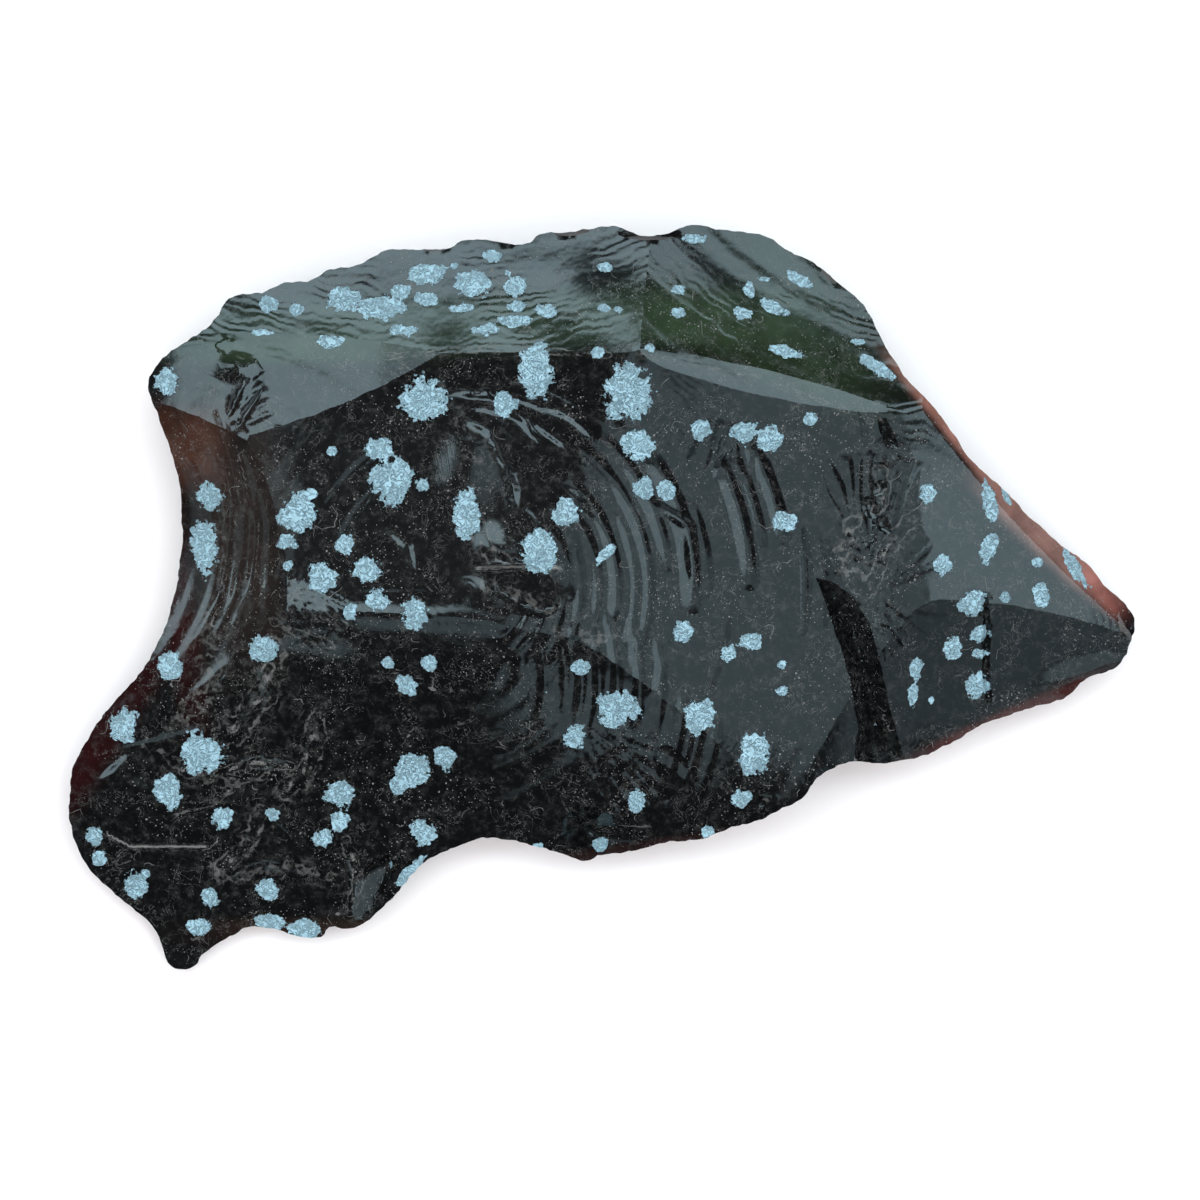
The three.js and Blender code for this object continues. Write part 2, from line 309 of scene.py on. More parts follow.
class Skin:
    """A triangulated surface over the outline, cut lower by one scar after another.

    The underside is carved upside down, so that a scar always lowers the skin.
    """

    def __init__(self, points, triangles, height):
        self.x = points[:, 0].copy()
        self.y = points[:, 1].copy()
        self.z = np.full(len(points), float(height))
        self.triangles = triangles
        self.scar = np.zeros(len(triangles), int)

    def carve(self, gap, scar):
        """Lowers the skin by gap where it is above 0, with a sharp edge where gap crosses 0."""
        gap = self._split(self._snapped(gap))
        self.z -= np.maximum(gap, 0)
        cut = gap[self.triangles].sum(axis=1) > 0
        self.scar[cut] = scar

    def _crossed_edges(self, gap):
        """The triangles and edges that gap's 0 runs through, and where along each edge it does."""
        corners = gap[self.triangles]
        mixed = np.nonzero((corners.max(axis=1) > 0) & (corners.min(axis=1) < 0))[0]
        tri = self.triangles[mixed]
        edges = np.sort(np.concatenate([tri[:, [0, 1]], tri[:, [1, 2]], tri[:, [2, 0]]]), axis=1)
        edges = np.unique(edges, axis=0)
        edges = edges[gap[edges[:, 0]] * gap[edges[:, 1]] < 0]
        first, second = gap[edges[:, 0]], gap[edges[:, 1]]
        return mixed, edges, first / (first - second)

    def _snapped(self, gap):
        """The gap, with 0 moved onto the points that lie very near to it."""
        gap = gap.copy()
        _, edges, share = self._crossed_edges(gap)
        near_first = edges[share < SNAP, 0]
        near_second = edges[share > 1 - SNAP, 1]
        lowered = np.concatenate([near_first, near_second])
        self.z[lowered] -= np.maximum(gap[lowered], 0)
        gap[lowered] = 0
        return gap

    def _split(self, gap):
        """Cuts the crossed triangles along gap's 0; the gap with 0 at each new point."""
        mixed, edges, share = self._crossed_edges(gap)
        if len(edges) == 0:
            return gap
        count = len(self.x)
        for name in ("x", "y", "z"):
            values = getattr(self, name)
            between = values[edges[:, 0]] * (1 - share) + values[edges[:, 1]] * share
            setattr(self, name, np.concatenate([values, between]))
        gap = np.concatenate([gap, np.zeros(len(edges))])
        middle = {tuple(edge): count + i for i, edge in enumerate(edges)}
        triangles, scars = [], []
        for index in mixed:
            for piece in split_triangle(self.triangles[index], middle):
                triangles.append(piece)
                scars.append(self.scar[index])
        keep = np.ones(len(self.triangles), bool)
        keep[mixed] = False
        self.triangles = np.concatenate([self.triangles[keep], np.array(triangles)])
        self.scar = np.concatenate([self.scar[keep], np.array(scars)])
        return gap


def split_triangle(triangle, middle):
    """The two or three triangles that a cut leaves; middle gives the new point of a cut edge."""
    a, b, c = (int(corner) for corner in triangle)
    for _ in range(3):
        first = middle.get((min(a, b), max(a, b)))
        second = middle.get((min(a, c), max(a, c)))
        opposite = middle.get((min(b, c), max(b, c)))
        if first is not None and second is not None:
            return [(a, first, second), (first, b, c), (first, c, second)]
        if opposite is not None and first is None and second is None:
            return [(a, b, opposite), (a, opposite, c)]
        a, b, c = b, c, a
    return [(a, b, c)]


def curve_point(p0, p1, p2, p3, t):
    """A point on the smooth curve from p1 to p2, at the share t of the way."""
    return 0.5 * (
        2 * p1 + (p2 - p0) * t + (2 * p0 - 5 * p1 + 4 * p2 - p3) * t**2
        + (3 * p1 - p0 - 3 * p2 + p3) * t**3
    )


def smooth_rim():
    """The outline as a fine closed line: a curve through its points, roughened as broken glass is."""
    corners = np.array(OUTLINE)
    before, after = np.roll(corners, 1, axis=0), np.roll(corners, -1, axis=0)
    beyond = np.roll(corners, -2, axis=0)
    line = []
    for four in zip(before, corners, after, beyond):
        steps = max(1, round(np.linalg.norm(four[2] - four[1]) / RIM_STEP))
        line += [curve_point(*four, share) for share in np.arange(steps) / steps]
    line = np.array(line)
    along = np.roll(line, -1, axis=0) - np.roll(line, 1, axis=0)
    normal = np.stack([along[:, 1], -along[:, 0]], axis=1)
    normal /= np.linalg.norm(normal, axis=1, keepdims=True)
    rough = waves(line[:, 0], line[:, 1], RIM_ROUGHNESS)
    return line + normal * rough[:, None]


def waves(x, y, kinds):
    """A gentle random surface: for each (wavelength, height), waves in random directions."""
    random = np.random.default_rng(SEED)
    total = np.zeros_like(x)
    for wavelength, height in kinds:
        for _ in range(WAVES_OF_A_KIND):
            turn, phase = random.uniform(0, math.tau, 2)
            stretch = random.uniform(*WAVE_STRETCH)
            run = (x * math.cos(turn) + y * math.sin(turn)) * math.tau / (wavelength * stretch)
            total += height * np.sin(run + phase) / WAVES_TOGETHER
    return total


def rings(x, y, strike, ripples):
    """Ripples round a blow's point: for each (wavelength, height), uneven rings that come and go."""
    away = np.hypot(x - strike[0], y - strike[1])
    turn = np.arctan2(y - strike[1], x - strike[0])
    total = np.zeros_like(x)
    for index, (wavelength, height) in enumerate(ripples):
        uneven = 0.6 * np.sin(3.1 * turn + index) + 0.35 * np.sin(7.3 * turn + 2 * index + away * 0.2)
        strength = 0.5 + 0.5 * np.sin(away * 0.55 + 4 * turn + 1.7 * index)
        total += height * strength * np.sin(away * math.tau / wavelength + uneven)
    return total


def even_points(rim, step):
    """Staggered rows of points over the rim's box, a little uneven, without those near the rim."""
    low, high = rim.min(axis=0), rim.max(axis=0)
    row = step * math.sqrt(3) / 2
    xs = np.arange(low[0], high[0], step)
    ys = np.arange(low[1], high[1], row)
    grid_x, grid_y = np.meshgrid(xs, ys)
    grid_x = grid_x + (np.arange(len(ys)) % 2)[:, None] * step / 2
    field = np.stack([grid_x.ravel(), grid_y.ravel()], axis=1)
    random = np.random.default_rng(SEED)
    field += random.uniform(-JITTER * step, JITTER * step, field.shape)
    clear = np.ones(len(field), bool)
    for start in range(0, len(field), BATCH):
        part = field[start:start + BATCH]
        apart = np.hypot(part[:, None, 0] - rim[None, :, 0], part[:, None, 1] - rim[None, :, 1])
        clear[start:start + BATCH] = apart.min(axis=1) > RIM_GAP * step
    return field[clear]


def triangulate(rim, step):
    """Triangles over the inside of the rim, between its own points and even ones inside it."""
    points = np.concatenate([rim, even_points(rim, step)])
    inside_only = 1
    corners, _, faces, _, _, _ = delaunay_2d_cdt(
        [Vector(point) for point in points], [], [list(range(len(rim)))], inside_only, SAME_POINT)
    faces = np.array(faces)
    used = np.unique(faces)
    number = np.full(len(corners), -1)
    number[used] = np.arange(len(used))
    return np.array([corners[i] for i in used]), number[faces]


def edge_loop(skin):
    """The skin's border points in order, anticlockwise, from the one with the lowest x."""
    triangles = skin.triangles
    sides = np.concatenate([triangles[:, [0, 1]], triangles[:, [1, 2]], triangles[:, [2, 0]]])
    lone = {}
    seen = set(map(tuple, sides.tolist()))
    for a, b in seen:
        if (b, a) not in seen:
            lone[a] = b
    start = min(lone, key=lambda point: (skin.x[point], skin.y[point]))
    loop = [start]
    while lone[loop[-1]] != start:
        loop.append(lone[loop[-1]])
    return np.array(loop)


def run_along(skin, loop):
    """How far round the border each point of the loop lies, as a share of the whole."""
    x, y = skin.x[loop], skin.y[loop]
    steps = np.hypot(np.roll(x, -1) - x, np.roll(y, -1) - y)
    return np.concatenate([[0], np.cumsum(steps)]) / steps.sum()


def rim_wall(upper, lower, first_of_lower):
    """The thin broken edge between the two skins, as triangles that face outwards."""
    top, bottom = edge_loop(upper), edge_loop(lower)
    top_run, bottom_run = run_along(upper, top), run_along(lower, bottom)
    wall = []
    i = j = 0
    while i < len(top) or j < len(bottom):
        a = top[i % len(top)]
        b = bottom[j % len(bottom)] + first_of_lower
        if j == len(bottom) or (i < len(top) and top_run[i + 1] <= bottom_run[j + 1]):
            i += 1
            wall.append((a, b, top[i % len(top)]))
        else:
            j += 1
            wall.append((a, b, bottom[j % len(bottom)] + first_of_lower))
    return np.array(wall)


def carve_large_scars(skin, scars, side):
    """Cuts the large scars, with ripples round each blow, on the upper side (1) or the lower (-1)."""
    for number, scar in enumerate(scars.values(), start=1):
        height = ball_height(scar, side, skin.x, skin.y)
        ripples = rings(skin.x, skin.y, scar["strike"], COARSE_RIPPLES)
        height = height + side * ripples * scar.get("ripple", 1.0)
        skin.carve(rounded(skin.z - side * height, scar.get("soft", 0.0)), number)


def rounded(gap, soft):
    """The gap, eased in over the heights from -soft to soft so that it leaves no sharp edge."""
    if soft == 0:
        return gap
    near = np.clip(1 - np.abs(gap) / soft, 0, None)
    return np.maximum(gap, 0) + near**2 * soft / 4


def line_distance(x, y, line):
    """How far each place is from a line of straight pieces through the points."""
    nearest = np.full(x.shape, FAR)
    for (ax, ay), (bx, by) in zip(line, line[1:]):
        long_x, long_y = bx - ax, by - ay
        share = np.clip(((x - ax) * long_x + (y - ay) * long_y) / (long_x**2 + long_y**2), 0, 1)
        nearest = np.minimum(nearest, np.hypot(x - ax - share * long_x, y - ay - share * long_y))
    return nearest


def inside_distance(x, y, outline):
    """How far inside a closed outline each place lies; below 0 outside it."""
    inside = np.zeros(x.shape, bool)
    for (ax, ay), (bx, by) in zip(outline, outline[1:] + outline[:1]):
        if ay != by:
            beside = x < ax + (y - ay) * (bx - ax) / (by - ay)
            inside ^= ((ay > y) != (by > y)) & beside
    nearest = line_distance(x, y, outline + outline[:1])
    return np.where(inside, nearest, -nearest)


def facet_gap(skin, outline, facing, depth=0.0):
    """A small scar: a shallow bowl inside its outline that falls by facing along x and y.

    Its floor lies at least depth below the skin.
    """
    inside = inside_distance(skin.x, skin.y, outline) + waves(skin.x, skin.y, SCAR_ROUGHNESS)
    middle = np.mean(outline, axis=0)
    dx, dy = skin.x - middle[0], skin.y - middle[1]
    tilted = (dx**2 + dy**2) / (2 * SCAR_BOWL) - facing[0] * dx - facing[1] * dy
    level = (skin.z - tilted)[inside > 0].min() - depth
    return np.minimum(skin.z - tilted - level, inside * WALL_SLOPE)


def leaning(dx, dy, turn):
    """An offset as measured along and across a line at that turn, in degrees."""
    lean = math.radians(turn)
    along = dx * math.cos(lean) + dy * math.sin(lean)
    across = dy * math.cos(lean) - dx * math.sin(lean)
    return along, across


def dent_gap(skin, place, half_size, turn, depth):
    """An oval hollow: above 0 inside its edge."""
    along, across = leaning(skin.x - place[0], skin.y - place[1], turn)
    return depth * (1 - (along / half_size[0]) ** 2 - (across / half_size[1]) ** 2)


def round_strike(skin, strike):
    """How far each place is from a blow's point, and at what turn in degrees."""
    dx, dy = skin.x - strike[0], skin.y - strike[1]
    return np.hypot(dx, dy), np.degrees(np.arctan2(dy, dx))


def between(value, ends):
    """1 halfway between the two ends, and 0 at them and beyond."""
    run = (value - ends[0]) / (ends[1] - ends[0])
    return np.clip(4 * run * (1 - run), 0, 1)


def groove(skin, strike, radius, turns, width, depth):
    """A curved groove round a blow's point, steeper on its outer side, that fades at both ends."""
    away, turn = round_strike(skin, strike)
    across = (away - radius) / width
    across = np.where(across > 0, across * OUTER_SLOPE, across)
    return depth * np.sqrt(between(turn, turns)) * np.exp(-across**2)


def hackles(skin, strike, reach, turns, pitch, depth):
    """Fine wavy ridges that fan out from a blow's point, between two distances and two turns."""
    away, turn = round_strike(skin, strike)
    uneven = 0.25 * pitch * np.sin(away * 0.9 + turn * 0.31)
    ridge = np.abs(np.sin((turn + uneven) * math.pi / pitch))
    return depth * ridge * np.sqrt(between(away, reach) * between(turn, turns))


# Small scars of the upper face, in the order they were struck: (outline, facing, depth).
FACETS = {
    "fang": (
        [(15.9, 1.7), (17.4, 1.3), (18.7, 0.2), (19.9, -1.6), (20.8, -5.0), (21.6, -8.4),
         (22.6, -11.8), (20.6, -12.6), (18.8, -12.2), (19.1, -9.5), (18.4, -5.6), (17.0, -1.2)],
        (-0.32, -0.24), 0.35),
    "right_chip": (
        [(20.3, 13.5), (21.1, 13.5), (21.5, 12.4), (22.2, 11.0), (21.2, 11.4), (20.6, 12.3)],
        (-0.35, -0.20)),
    "scoop": (
        [(-9.0, 2.5), (-7.2, 2.7), (-5.0, 2.6), (-3.6, 1.8), (-3.0, 0.6), (-3.2, -0.9),
         (-4.6, -1.4), (-7.0, -0.9), (-8.4, 0.2)],
        (-0.30, -0.22)),
    "grey_triangle": (
        [(-18.8, -24.2), (-18.6, -20.8), (-16.9, -19.2), (-15.0, -18.8), (-15.4, -20.8),
         (-16.9, -23.5)],
        (0.12, -0.14)),
    "corner_light": (
        [(-28.9, 19.1), (-27.8, 19.6), (-26.9, 19.0), (-27.5, 18.2), (-28.6, 18.4)],
        (-0.2, 0.09)),
    "corner_light_low": (
        [(-27.3, 17.8), (-25.6, 17.9), (-24.9, 17.0), (-25.8, 16.1), (-27.0, 16.6)],
        (-0.2, 0.09)),
    "bottom_dark": (
        [(-3.1, -14.9), (1.4, -16.0), (4.1, -17.0), (3.0, -18.6), (0.0, -19.4), (-3.4, -18.4)],
        (-0.5, -0.3)),
    "tip": (
        [(38.6, -0.9), (39.7, -0.6), (40.4, -1.9), (39.8, -3.1), (38.8, -2.4)],
        (0.5, -0.1)),
}

# Smooth swells: (place, half size, turn in degrees, height).
SWELLS = [
    ((-9.8, 10.5), (2.0, 3.6), -20, 0.30), ((-8.0, 4.0), (1.0, 1.6), 20, 0.30),
    ((-6.0, 0.2), (3.4, 1.0), -8, 0.26), ((-21.6, -1.4), (2.6, 1.6), -35, 0.36),
    ((-27.0, 17.4), (1.4, 0.8), 0, 0.20), ((-12.0, 14.0), (3.0, 1.2), 10, 0.14),
    ((0.0, 6.0), (2.2, 3.0), 60, 0.16), ((18.0, 2.0), (2.0, 2.4), 0, 0.25),
    ((-17.0, -22.0), (1.2, 2.0), -25, 0.30), ((-31.0, -9.0), (2.5, 2.0), 0, 0.2),
    ((-36.0, -14.0), (2.0, 3.0), 0, 0.2), ((36.0, -5.6), (3.0, 0.9), 18, 0.30),
]

# Small oval hollows: (place, half size, turn in degrees, depth).
DENTS = [
    # in the rim of the back slope
    ((-19.6, 25.3), (0.8, 0.5), 20, 0.3), ((-12.3, 26.4), (1.2, 0.5), 5, 0.3),
    ((-6.8, 26.9), (0.9, 0.5), 0, 0.3), ((-2.2, 27.5), (1.5, 0.5), 5, 0.35),
    ((3.6, 27.2), (2.4, 0.6), 0, 0.35), ((17.0, 24.3), (1.0, 0.5), -50, 0.3),
    # pits along the crack of the lower wing
    ((28.4, -0.9), (0.4, 0.3), 20, 0.3), ((28.6, -2.9), (0.5, 0.3), 60, 0.3),
    ((28.8, -5.0), (0.4, 0.3), 80, 0.3),
    # the chip in the bottom edge and the one by the right face
    ((12.0, -15.1), (0.6, 0.5), 60, 0.4), ((1.0, -12.0), (1.6, 1.0), 30, 0.12),
    ((5.2, -12.4), (1.8, 1.2), -60, 0.12), ((19.9, 6.9), (0.6, 0.9), 20, 0.2),
    ((20.6, 8.3), (0.5, 0.7), -20, 0.18), ((20.9, 5.6), (0.5, 0.8), 30, 0.18),
    ((-27.1, 15.1), (1.6, 0.4), 70, 0.12), ((-26.1, 14.2), (1.8, 0.35), 60, 0.12),
]

# Curved grooves round each blow's point: (radius, (first turn, last turn), width, depth).
MAIN_STRIKE = (-9.8, 0.8)
LOW_STRIKE = (-14.0, -6.0)
GROOVES = {
    MAIN_STRIKE: [
        # the dark crescents of the middle and right faces
        (9.6, (-15, 40), 0.45, 0.10), (11.0, (-12, 48), 0.50, 0.14), (12.4, (-20, 30), 0.35, 0.08),
        (13.4, (-25, 52), 0.45, 0.12), (14.9, (5, 46), 0.50, 0.13), (16.7, (-6, 36), 0.70, 0.22),
        (17.7, (-2, 22), 0.40, 0.10), (20.9, (0, 27), 0.65, 0.20), (22.0, (8, 26), 0.40, 0.12),
        (23.6, (8, 27), 0.50, 0.16), (24.9, (-8, 11), 0.35, 0.10), (19.2, (-24, -4), 0.40, 0.06),
        (15.6, (-38, -12), 0.40, 0.06), (26.3, (-6, 8), 0.35, 0.06),
        # the arcs below the hinge
        (4.4, (-62, -5), 0.35, 0.12), (5.7, (-58, 10), 0.35, 0.12), (7.0, (-52, 14), 0.35, 0.12),
        (8.3, (-46, 20), 0.35, 0.12),
        # the light arcs at the top of the main hollow
        (14.6, (62, 92), 0.35, 0.10), (13.5, (58, 95), 0.30, 0.10), (15.9, (50, 80), 0.35, 0.08),
        (7.6, (-5, 60), 0.40, 0.10), (12.3, (100, 150), 0.35, 0.06), (10.2, (110, 160), 0.35, 0.06),
    ],
    LOW_STRIKE: [
        # the arcs of the lower hollow
        (11.4, (-12, 20), 0.30, 0.09), (12.6, (-16, 20), 0.35, 0.10), (13.9, (-18, 20), 0.35, 0.10),
        (15.2, (-16, 20), 0.35, 0.10), (16.9, (-16, 16), 0.40, 0.10), (18.5, (-18, 12), 0.40, 0.10),
        (20.2, (-32, 0), 0.50, 0.12), (21.6, (-30, -2), 0.50, 0.14), (22.9, (-28, -6), 0.40, 0.10),
        (9.8, (-20, 24), 0.30, 0.10),
    ],
    (-44, 6): [
        # the streaks of the notch
        (17.5, (-30, 28), 0.35, 0.12), (16.4, (-35, 24), 0.35, 0.12), (18.4, (-26, 20), 0.30, 0.10),
    ],
    (-36, 2): [
        # the streaks of the lobe
        (13.0, (-75, -30), 0.35, 0.07), (10.5, (-80, -35), 0.35, 0.07), (17.5, (-70, -40), 0.35, 0.06),
    ],
    (-30, -24): [
        # the streaks of the lobe's lower end
        (9.5, (20, 75), 0.30, 0.06), (8.2, (10, 60), 0.30, 0.06),
    ],
}

# Fans of fine ridges: (strike, (nearest, furthest), (first turn, last turn), pitch in degrees, height).
HACKLES = [
    ((20.0, 0.4), (0.4, 10.5), (62, 118), 5.5, 0.12), ((20.0, 0.4), (0.3, 6.0), (20, 62), 7, 0.09),
    ((20.0, 0.4), (0.3, 4.0), (118, 178), 9, 0.07), ((20.0, 0.6), (0.3, 5.5), (-88, -35), 9, 0.09),
    ((-27.0, 5.0), (4.0, 11.0), (-62, -28), 3, 0.10),
    ((-16.0, 20.0), (6.0, 20.0), (-52, -30), 2.6, 0.045),
    ((10.5, 18.0), (5.0, 9.5), (-120, -75), 7, 0.08), ((-3.0, -7.5), (2.0, 12.0), (-75, -25), 6, 0.07),
    ((-29.5, 12.0), (2.0, 6.0), (10, 60), 8, 0.08), ((21.2, 10.4), (0.3, 1.6), (-179, 180), 30, 0.10),
]

# Bent streaks: (points along it, width, depth, below 0 for a raised one).
STREAKS = [
    # across the lobe and the lower hollow
    ([(-25.2, -5.0), (-25.7, -8.1), (-27.8, -9.9)], 0.55, 0.20),
    ([(-22.5, -12.4), (-26.0, -12.2), (-28.4, -12.8)], 0.30, 0.12),
    ([(-21.4, -8.6), (-21.8, -11.9), (-23.6, -14.4)], 0.40, 0.16),
    ([(-20.0, -9.6), (-20.6, -12.4), (-22.4, -15.0)], 0.30, 0.10),
    ([(-25.4, -15.6), (-26.6, -18.5), (-28.8, -20.2)], 0.45, 0.16),
    ([(-31.8, -10.2), (-35.7, -11.3), (-38.9, -14.0)], 0.40, 0.14),
    ([(-26.8, -3.2), (-28.6, -7.0), (-32.6, -9.6)], 0.35, 0.12),
    ([(-24.4, -3.6), (-24.8, -6.6), (-26.6, -9.0)], 0.30, 0.12),
    ([(-29.0, -21.0), (-25.4, -19.8), (-22.6, -20.2)], 0.25, 0.10),
    ([(-19.4, -18.0), (-18.4, -20.4), (-18.9, -23.2)], 0.30, 0.14),
    # round the hinge of the main hollow
    ([(-9.4, 2.9), (-7.4, 3.2), (-5.0, 2.9), (-2.6, 2.6)], 0.22, 0.16),
    ([(-11.2, 15.6), (-8.2, 15.4), (-6.0, 13.6), (-4.2, 11.2)], 0.30, 0.16),
    ([(-6.2, 14.0), (-3.6, 12.2), (-1.8, 10.6)], 0.25, 0.14),
    ([(-4.9, 15.2), (-2.0, 13.4), (0.1, 11.4)], 0.25, 0.14),
    ([(-10.8, 14.0), (-8.2, 12.6), (-6.9, 9.6), (-6.2, 6.0)], 0.35, 0.16),
    ([(-16.4, 5.9), (-14.4, 4.2), (-13.8, 1.2)], 0.25, 0.10),
    # the lip between the main hollow and the lower one
    ([(-26.0, -3.3), (-21.0, -2.3), (-19.4, -0.9), (-15.0, -1.3), (-9.8, -1.1), (-5.5, -2.2)],
     0.7, -0.09),
    ([(3.0, 7.6), (6.6, 5.5), (7.0, 0.6)], 0.30, 0.12),
    # along the notch
    ([(-28.4, 11.8), (-27.0, 6.0), (-27.4, -1.0)], 0.25, 0.10),
    ([(-27.4, 11.6), (-25.8, 5.6), (-26.2, -2.0)], 0.25, 0.10),
    ([(-26.0, 10.8), (-24.6, 5.6), (-25.0, -1.2)], 0.25, 0.10),
    ([(-29.2, 9.0), (-28.0, 3.6), (-28.8, -1.6)], 0.25, 0.10),
]

# Light grey lines along the small grooves and ridges: painted reflections of their ripples and edges,
# with dry film and lint: (points along it, width, strength).
FILM_AND_SHEEN_LINES = [
    ([(-24.6, -3.6), (-25.2, -7.1), (-28.0, -10.2)], 1.2, 0.9),
    ([(-23.2, -12.4), (-26.0, -12.1), (-28.4, -12.8)], 0.4, 0.9),
    ([(-21.2, -8.8), (-21.7, -11.9), (-23.5, -14.4)], 1.0, 0.8),
    ([(-25.4, -15.8), (-26.6, -18.5), (-28.8, -20.2)], 0.9, 0.7),
    ([(-27.4, -13.4), (-31.0, -13.0), (-34.0, -10.6)], 0.8, 0.5),
    ([(-29.2, -2.0), (-29.2, -6.4), (-31.4, -8.8)], 1.4, 0.5),
    ([(-20.2, -20.8), (-24.0, -20.0), (-28.6, -21.2)], 0.7, 0.5),
    ([(-19.2, -18.0), (-18.2, -20.4), (-18.8, -23.4)], 0.5, 0.8),
    ([(-32.5, -16.4), (-29.0, -15.0), (-24.8, -13.0)], 0.3, 0.6),
    ([(-37.2, -17.5), (-35.4, -18.5), (-32.8, -18.5), (-29.7, -18.5)], 0.16, 1.6),
    ([(-24.2, -1.6), (-21.6, -2.8), (-19.4, -3.6)], 0.5, 0.6),
    ([(-22.4, 0.6), (-20.6, -1.0), (-19.0, -1.8)], 0.4, 0.8),
    ([(-9.2, 2.4), (-6.0, 2.5), (-3.0, 2.4)], 0.22, 1.5),
    ([(-9.2, 5.4), (-8.6, 3.6), (-7.4, 2.9)], 0.9, 0.7),
    ([(-11.6, 14.6), (-9.8, 12.4), (-9.4, 9.6)], 1.3, 0.35),
    ([(-8.6, 1.0), (-5.6, 0.2), (-3.2, -1.4), (0.4, -3.2)], 0.8, 0.45),
    ([(-16.0, 18.0), (-8.0, 18.6), (0.6, 18.0)], 0.35, 0.7),
    ([(2.6, 18.2), (12.0, 16.4), (20.0, 13.2)], 0.25, 0.5),
    ([(20.6, 9.6), (21.0, 8.2), (20.4, 6.6)], 0.6, 0.8),
    ([(20.0, 1.0), (21.4, 4.4), (24.0, 7.0)], 0.7, 0.8),
    ([(19.4, 0.6), (17.8, 3.2), (18.6, 6.4)], 1.0, 0.6),
    ([(-29.0, 10.0), (-28.0, 4.0), (-28.6, -1.4)], 0.8, 0.35),
]

CRACK = [(28.5, 0.2), (28.8, -2.2), (28.7, -4.8), (29.0, -7.4)]


def streak(skin, line, width, depth):
    """A bent groove that runs out at both ends, or a raised lip where depth is below 0."""
    across = line_distance(skin.x, skin.y, line) / width
    to_ends = [np.hypot(skin.x - end[0], skin.y - end[1]) for end in (line[0], line[-1])]
    fade = np.clip(np.minimum(*to_ends) / STREAK_FADE, 0, 1)
    return depth * fade * np.exp(-across**2)


def carve_details(skin):
    """The small scars, grooves, ridges, dents and the crack of the upper face."""
    number = len(UPPER_SCARS)
    for strike, bends in GROOVES.items():
        for bend in bends:
            skin.z -= groove(skin, strike, *bend)
    for fan in HACKLES:
        skin.z -= hackles(skin, *fan)
    for line, width, depth in STREAKS:
        skin.z -= streak(skin, line, width, depth)
    for place, half_size, turn, height in SWELLS:
        skin.z += height * np.exp(dent_gap(skin, place, half_size, turn, 1.0) - 1)
    for facet in FACETS.values():
        number += 1
        skin.carve(facet_gap(skin, *facet), number)
    for dent in DENTS:
        number += 1
        skin.carve(dent_gap(skin, *dent), number)
    number += 1
    across = line_distance(skin.x, skin.y, CRACK) / CRACK_WIDTH
    skin.carve(CRACK_DEPTH * (1 - across**2), number)


def bevel_ball(point, outwards, top, random):
    """The centre and radius of the ball that cuts a short steep scar under a point of the rim."""
    bottom = lower_height(np.array([point[0]]), np.array([point[1]]))[0]
    steepness = random.uniform(*BEVEL_STEEPNESS)
    width = max((top - RIM_THICKNESS - bottom) / steepness, LEAST_BEVEL)
    radius = random.uniform(*BEVEL_RADIUS)
    slope = math.atan(steepness)
    normal = np.array([*(outwards * math.sin(slope)), -math.cos(slope)])
    height = top - RIM_THICKNESS - width / 2 * steepness
    middle = np.array([*(point - outwards * width / 2), height])
    return middle + normal * (radius - BEVEL_HOLLOW), radius


def carve_rim_bevels(skin, rim, top_at):
    """Short steep scars under the rim that bring the underside up to a sharp edge."""
    random = np.random.default_rng(SEED + 1)
    number = len(LOWER_SCARS)
    place = 0
    while place < len(rim):
        point = rim[place]
        along = rim[(place + RIM_REACH) % len(rim)] - rim[place - RIM_REACH]
        outwards = np.array([-along[1], along[0]]) / np.hypot(*along)
        just_inside = point - outwards * JUST_INSIDE
        centre, radius = bevel_ball(point, outwards, top_at(*just_inside), random)
        inside = radius**2 - (skin.x - centre[0]) ** 2 - (skin.y - centre[1]) ** 2
        ball_top = np.where(inside > 0, centre[2] + np.sqrt(np.maximum(inside, 0)), -FAR)
        number += 1
        skin.carve(skin.z + ball_top, number)
        place += int(random.uniform(*BEVEL_SPACING) / RIM_STEP)


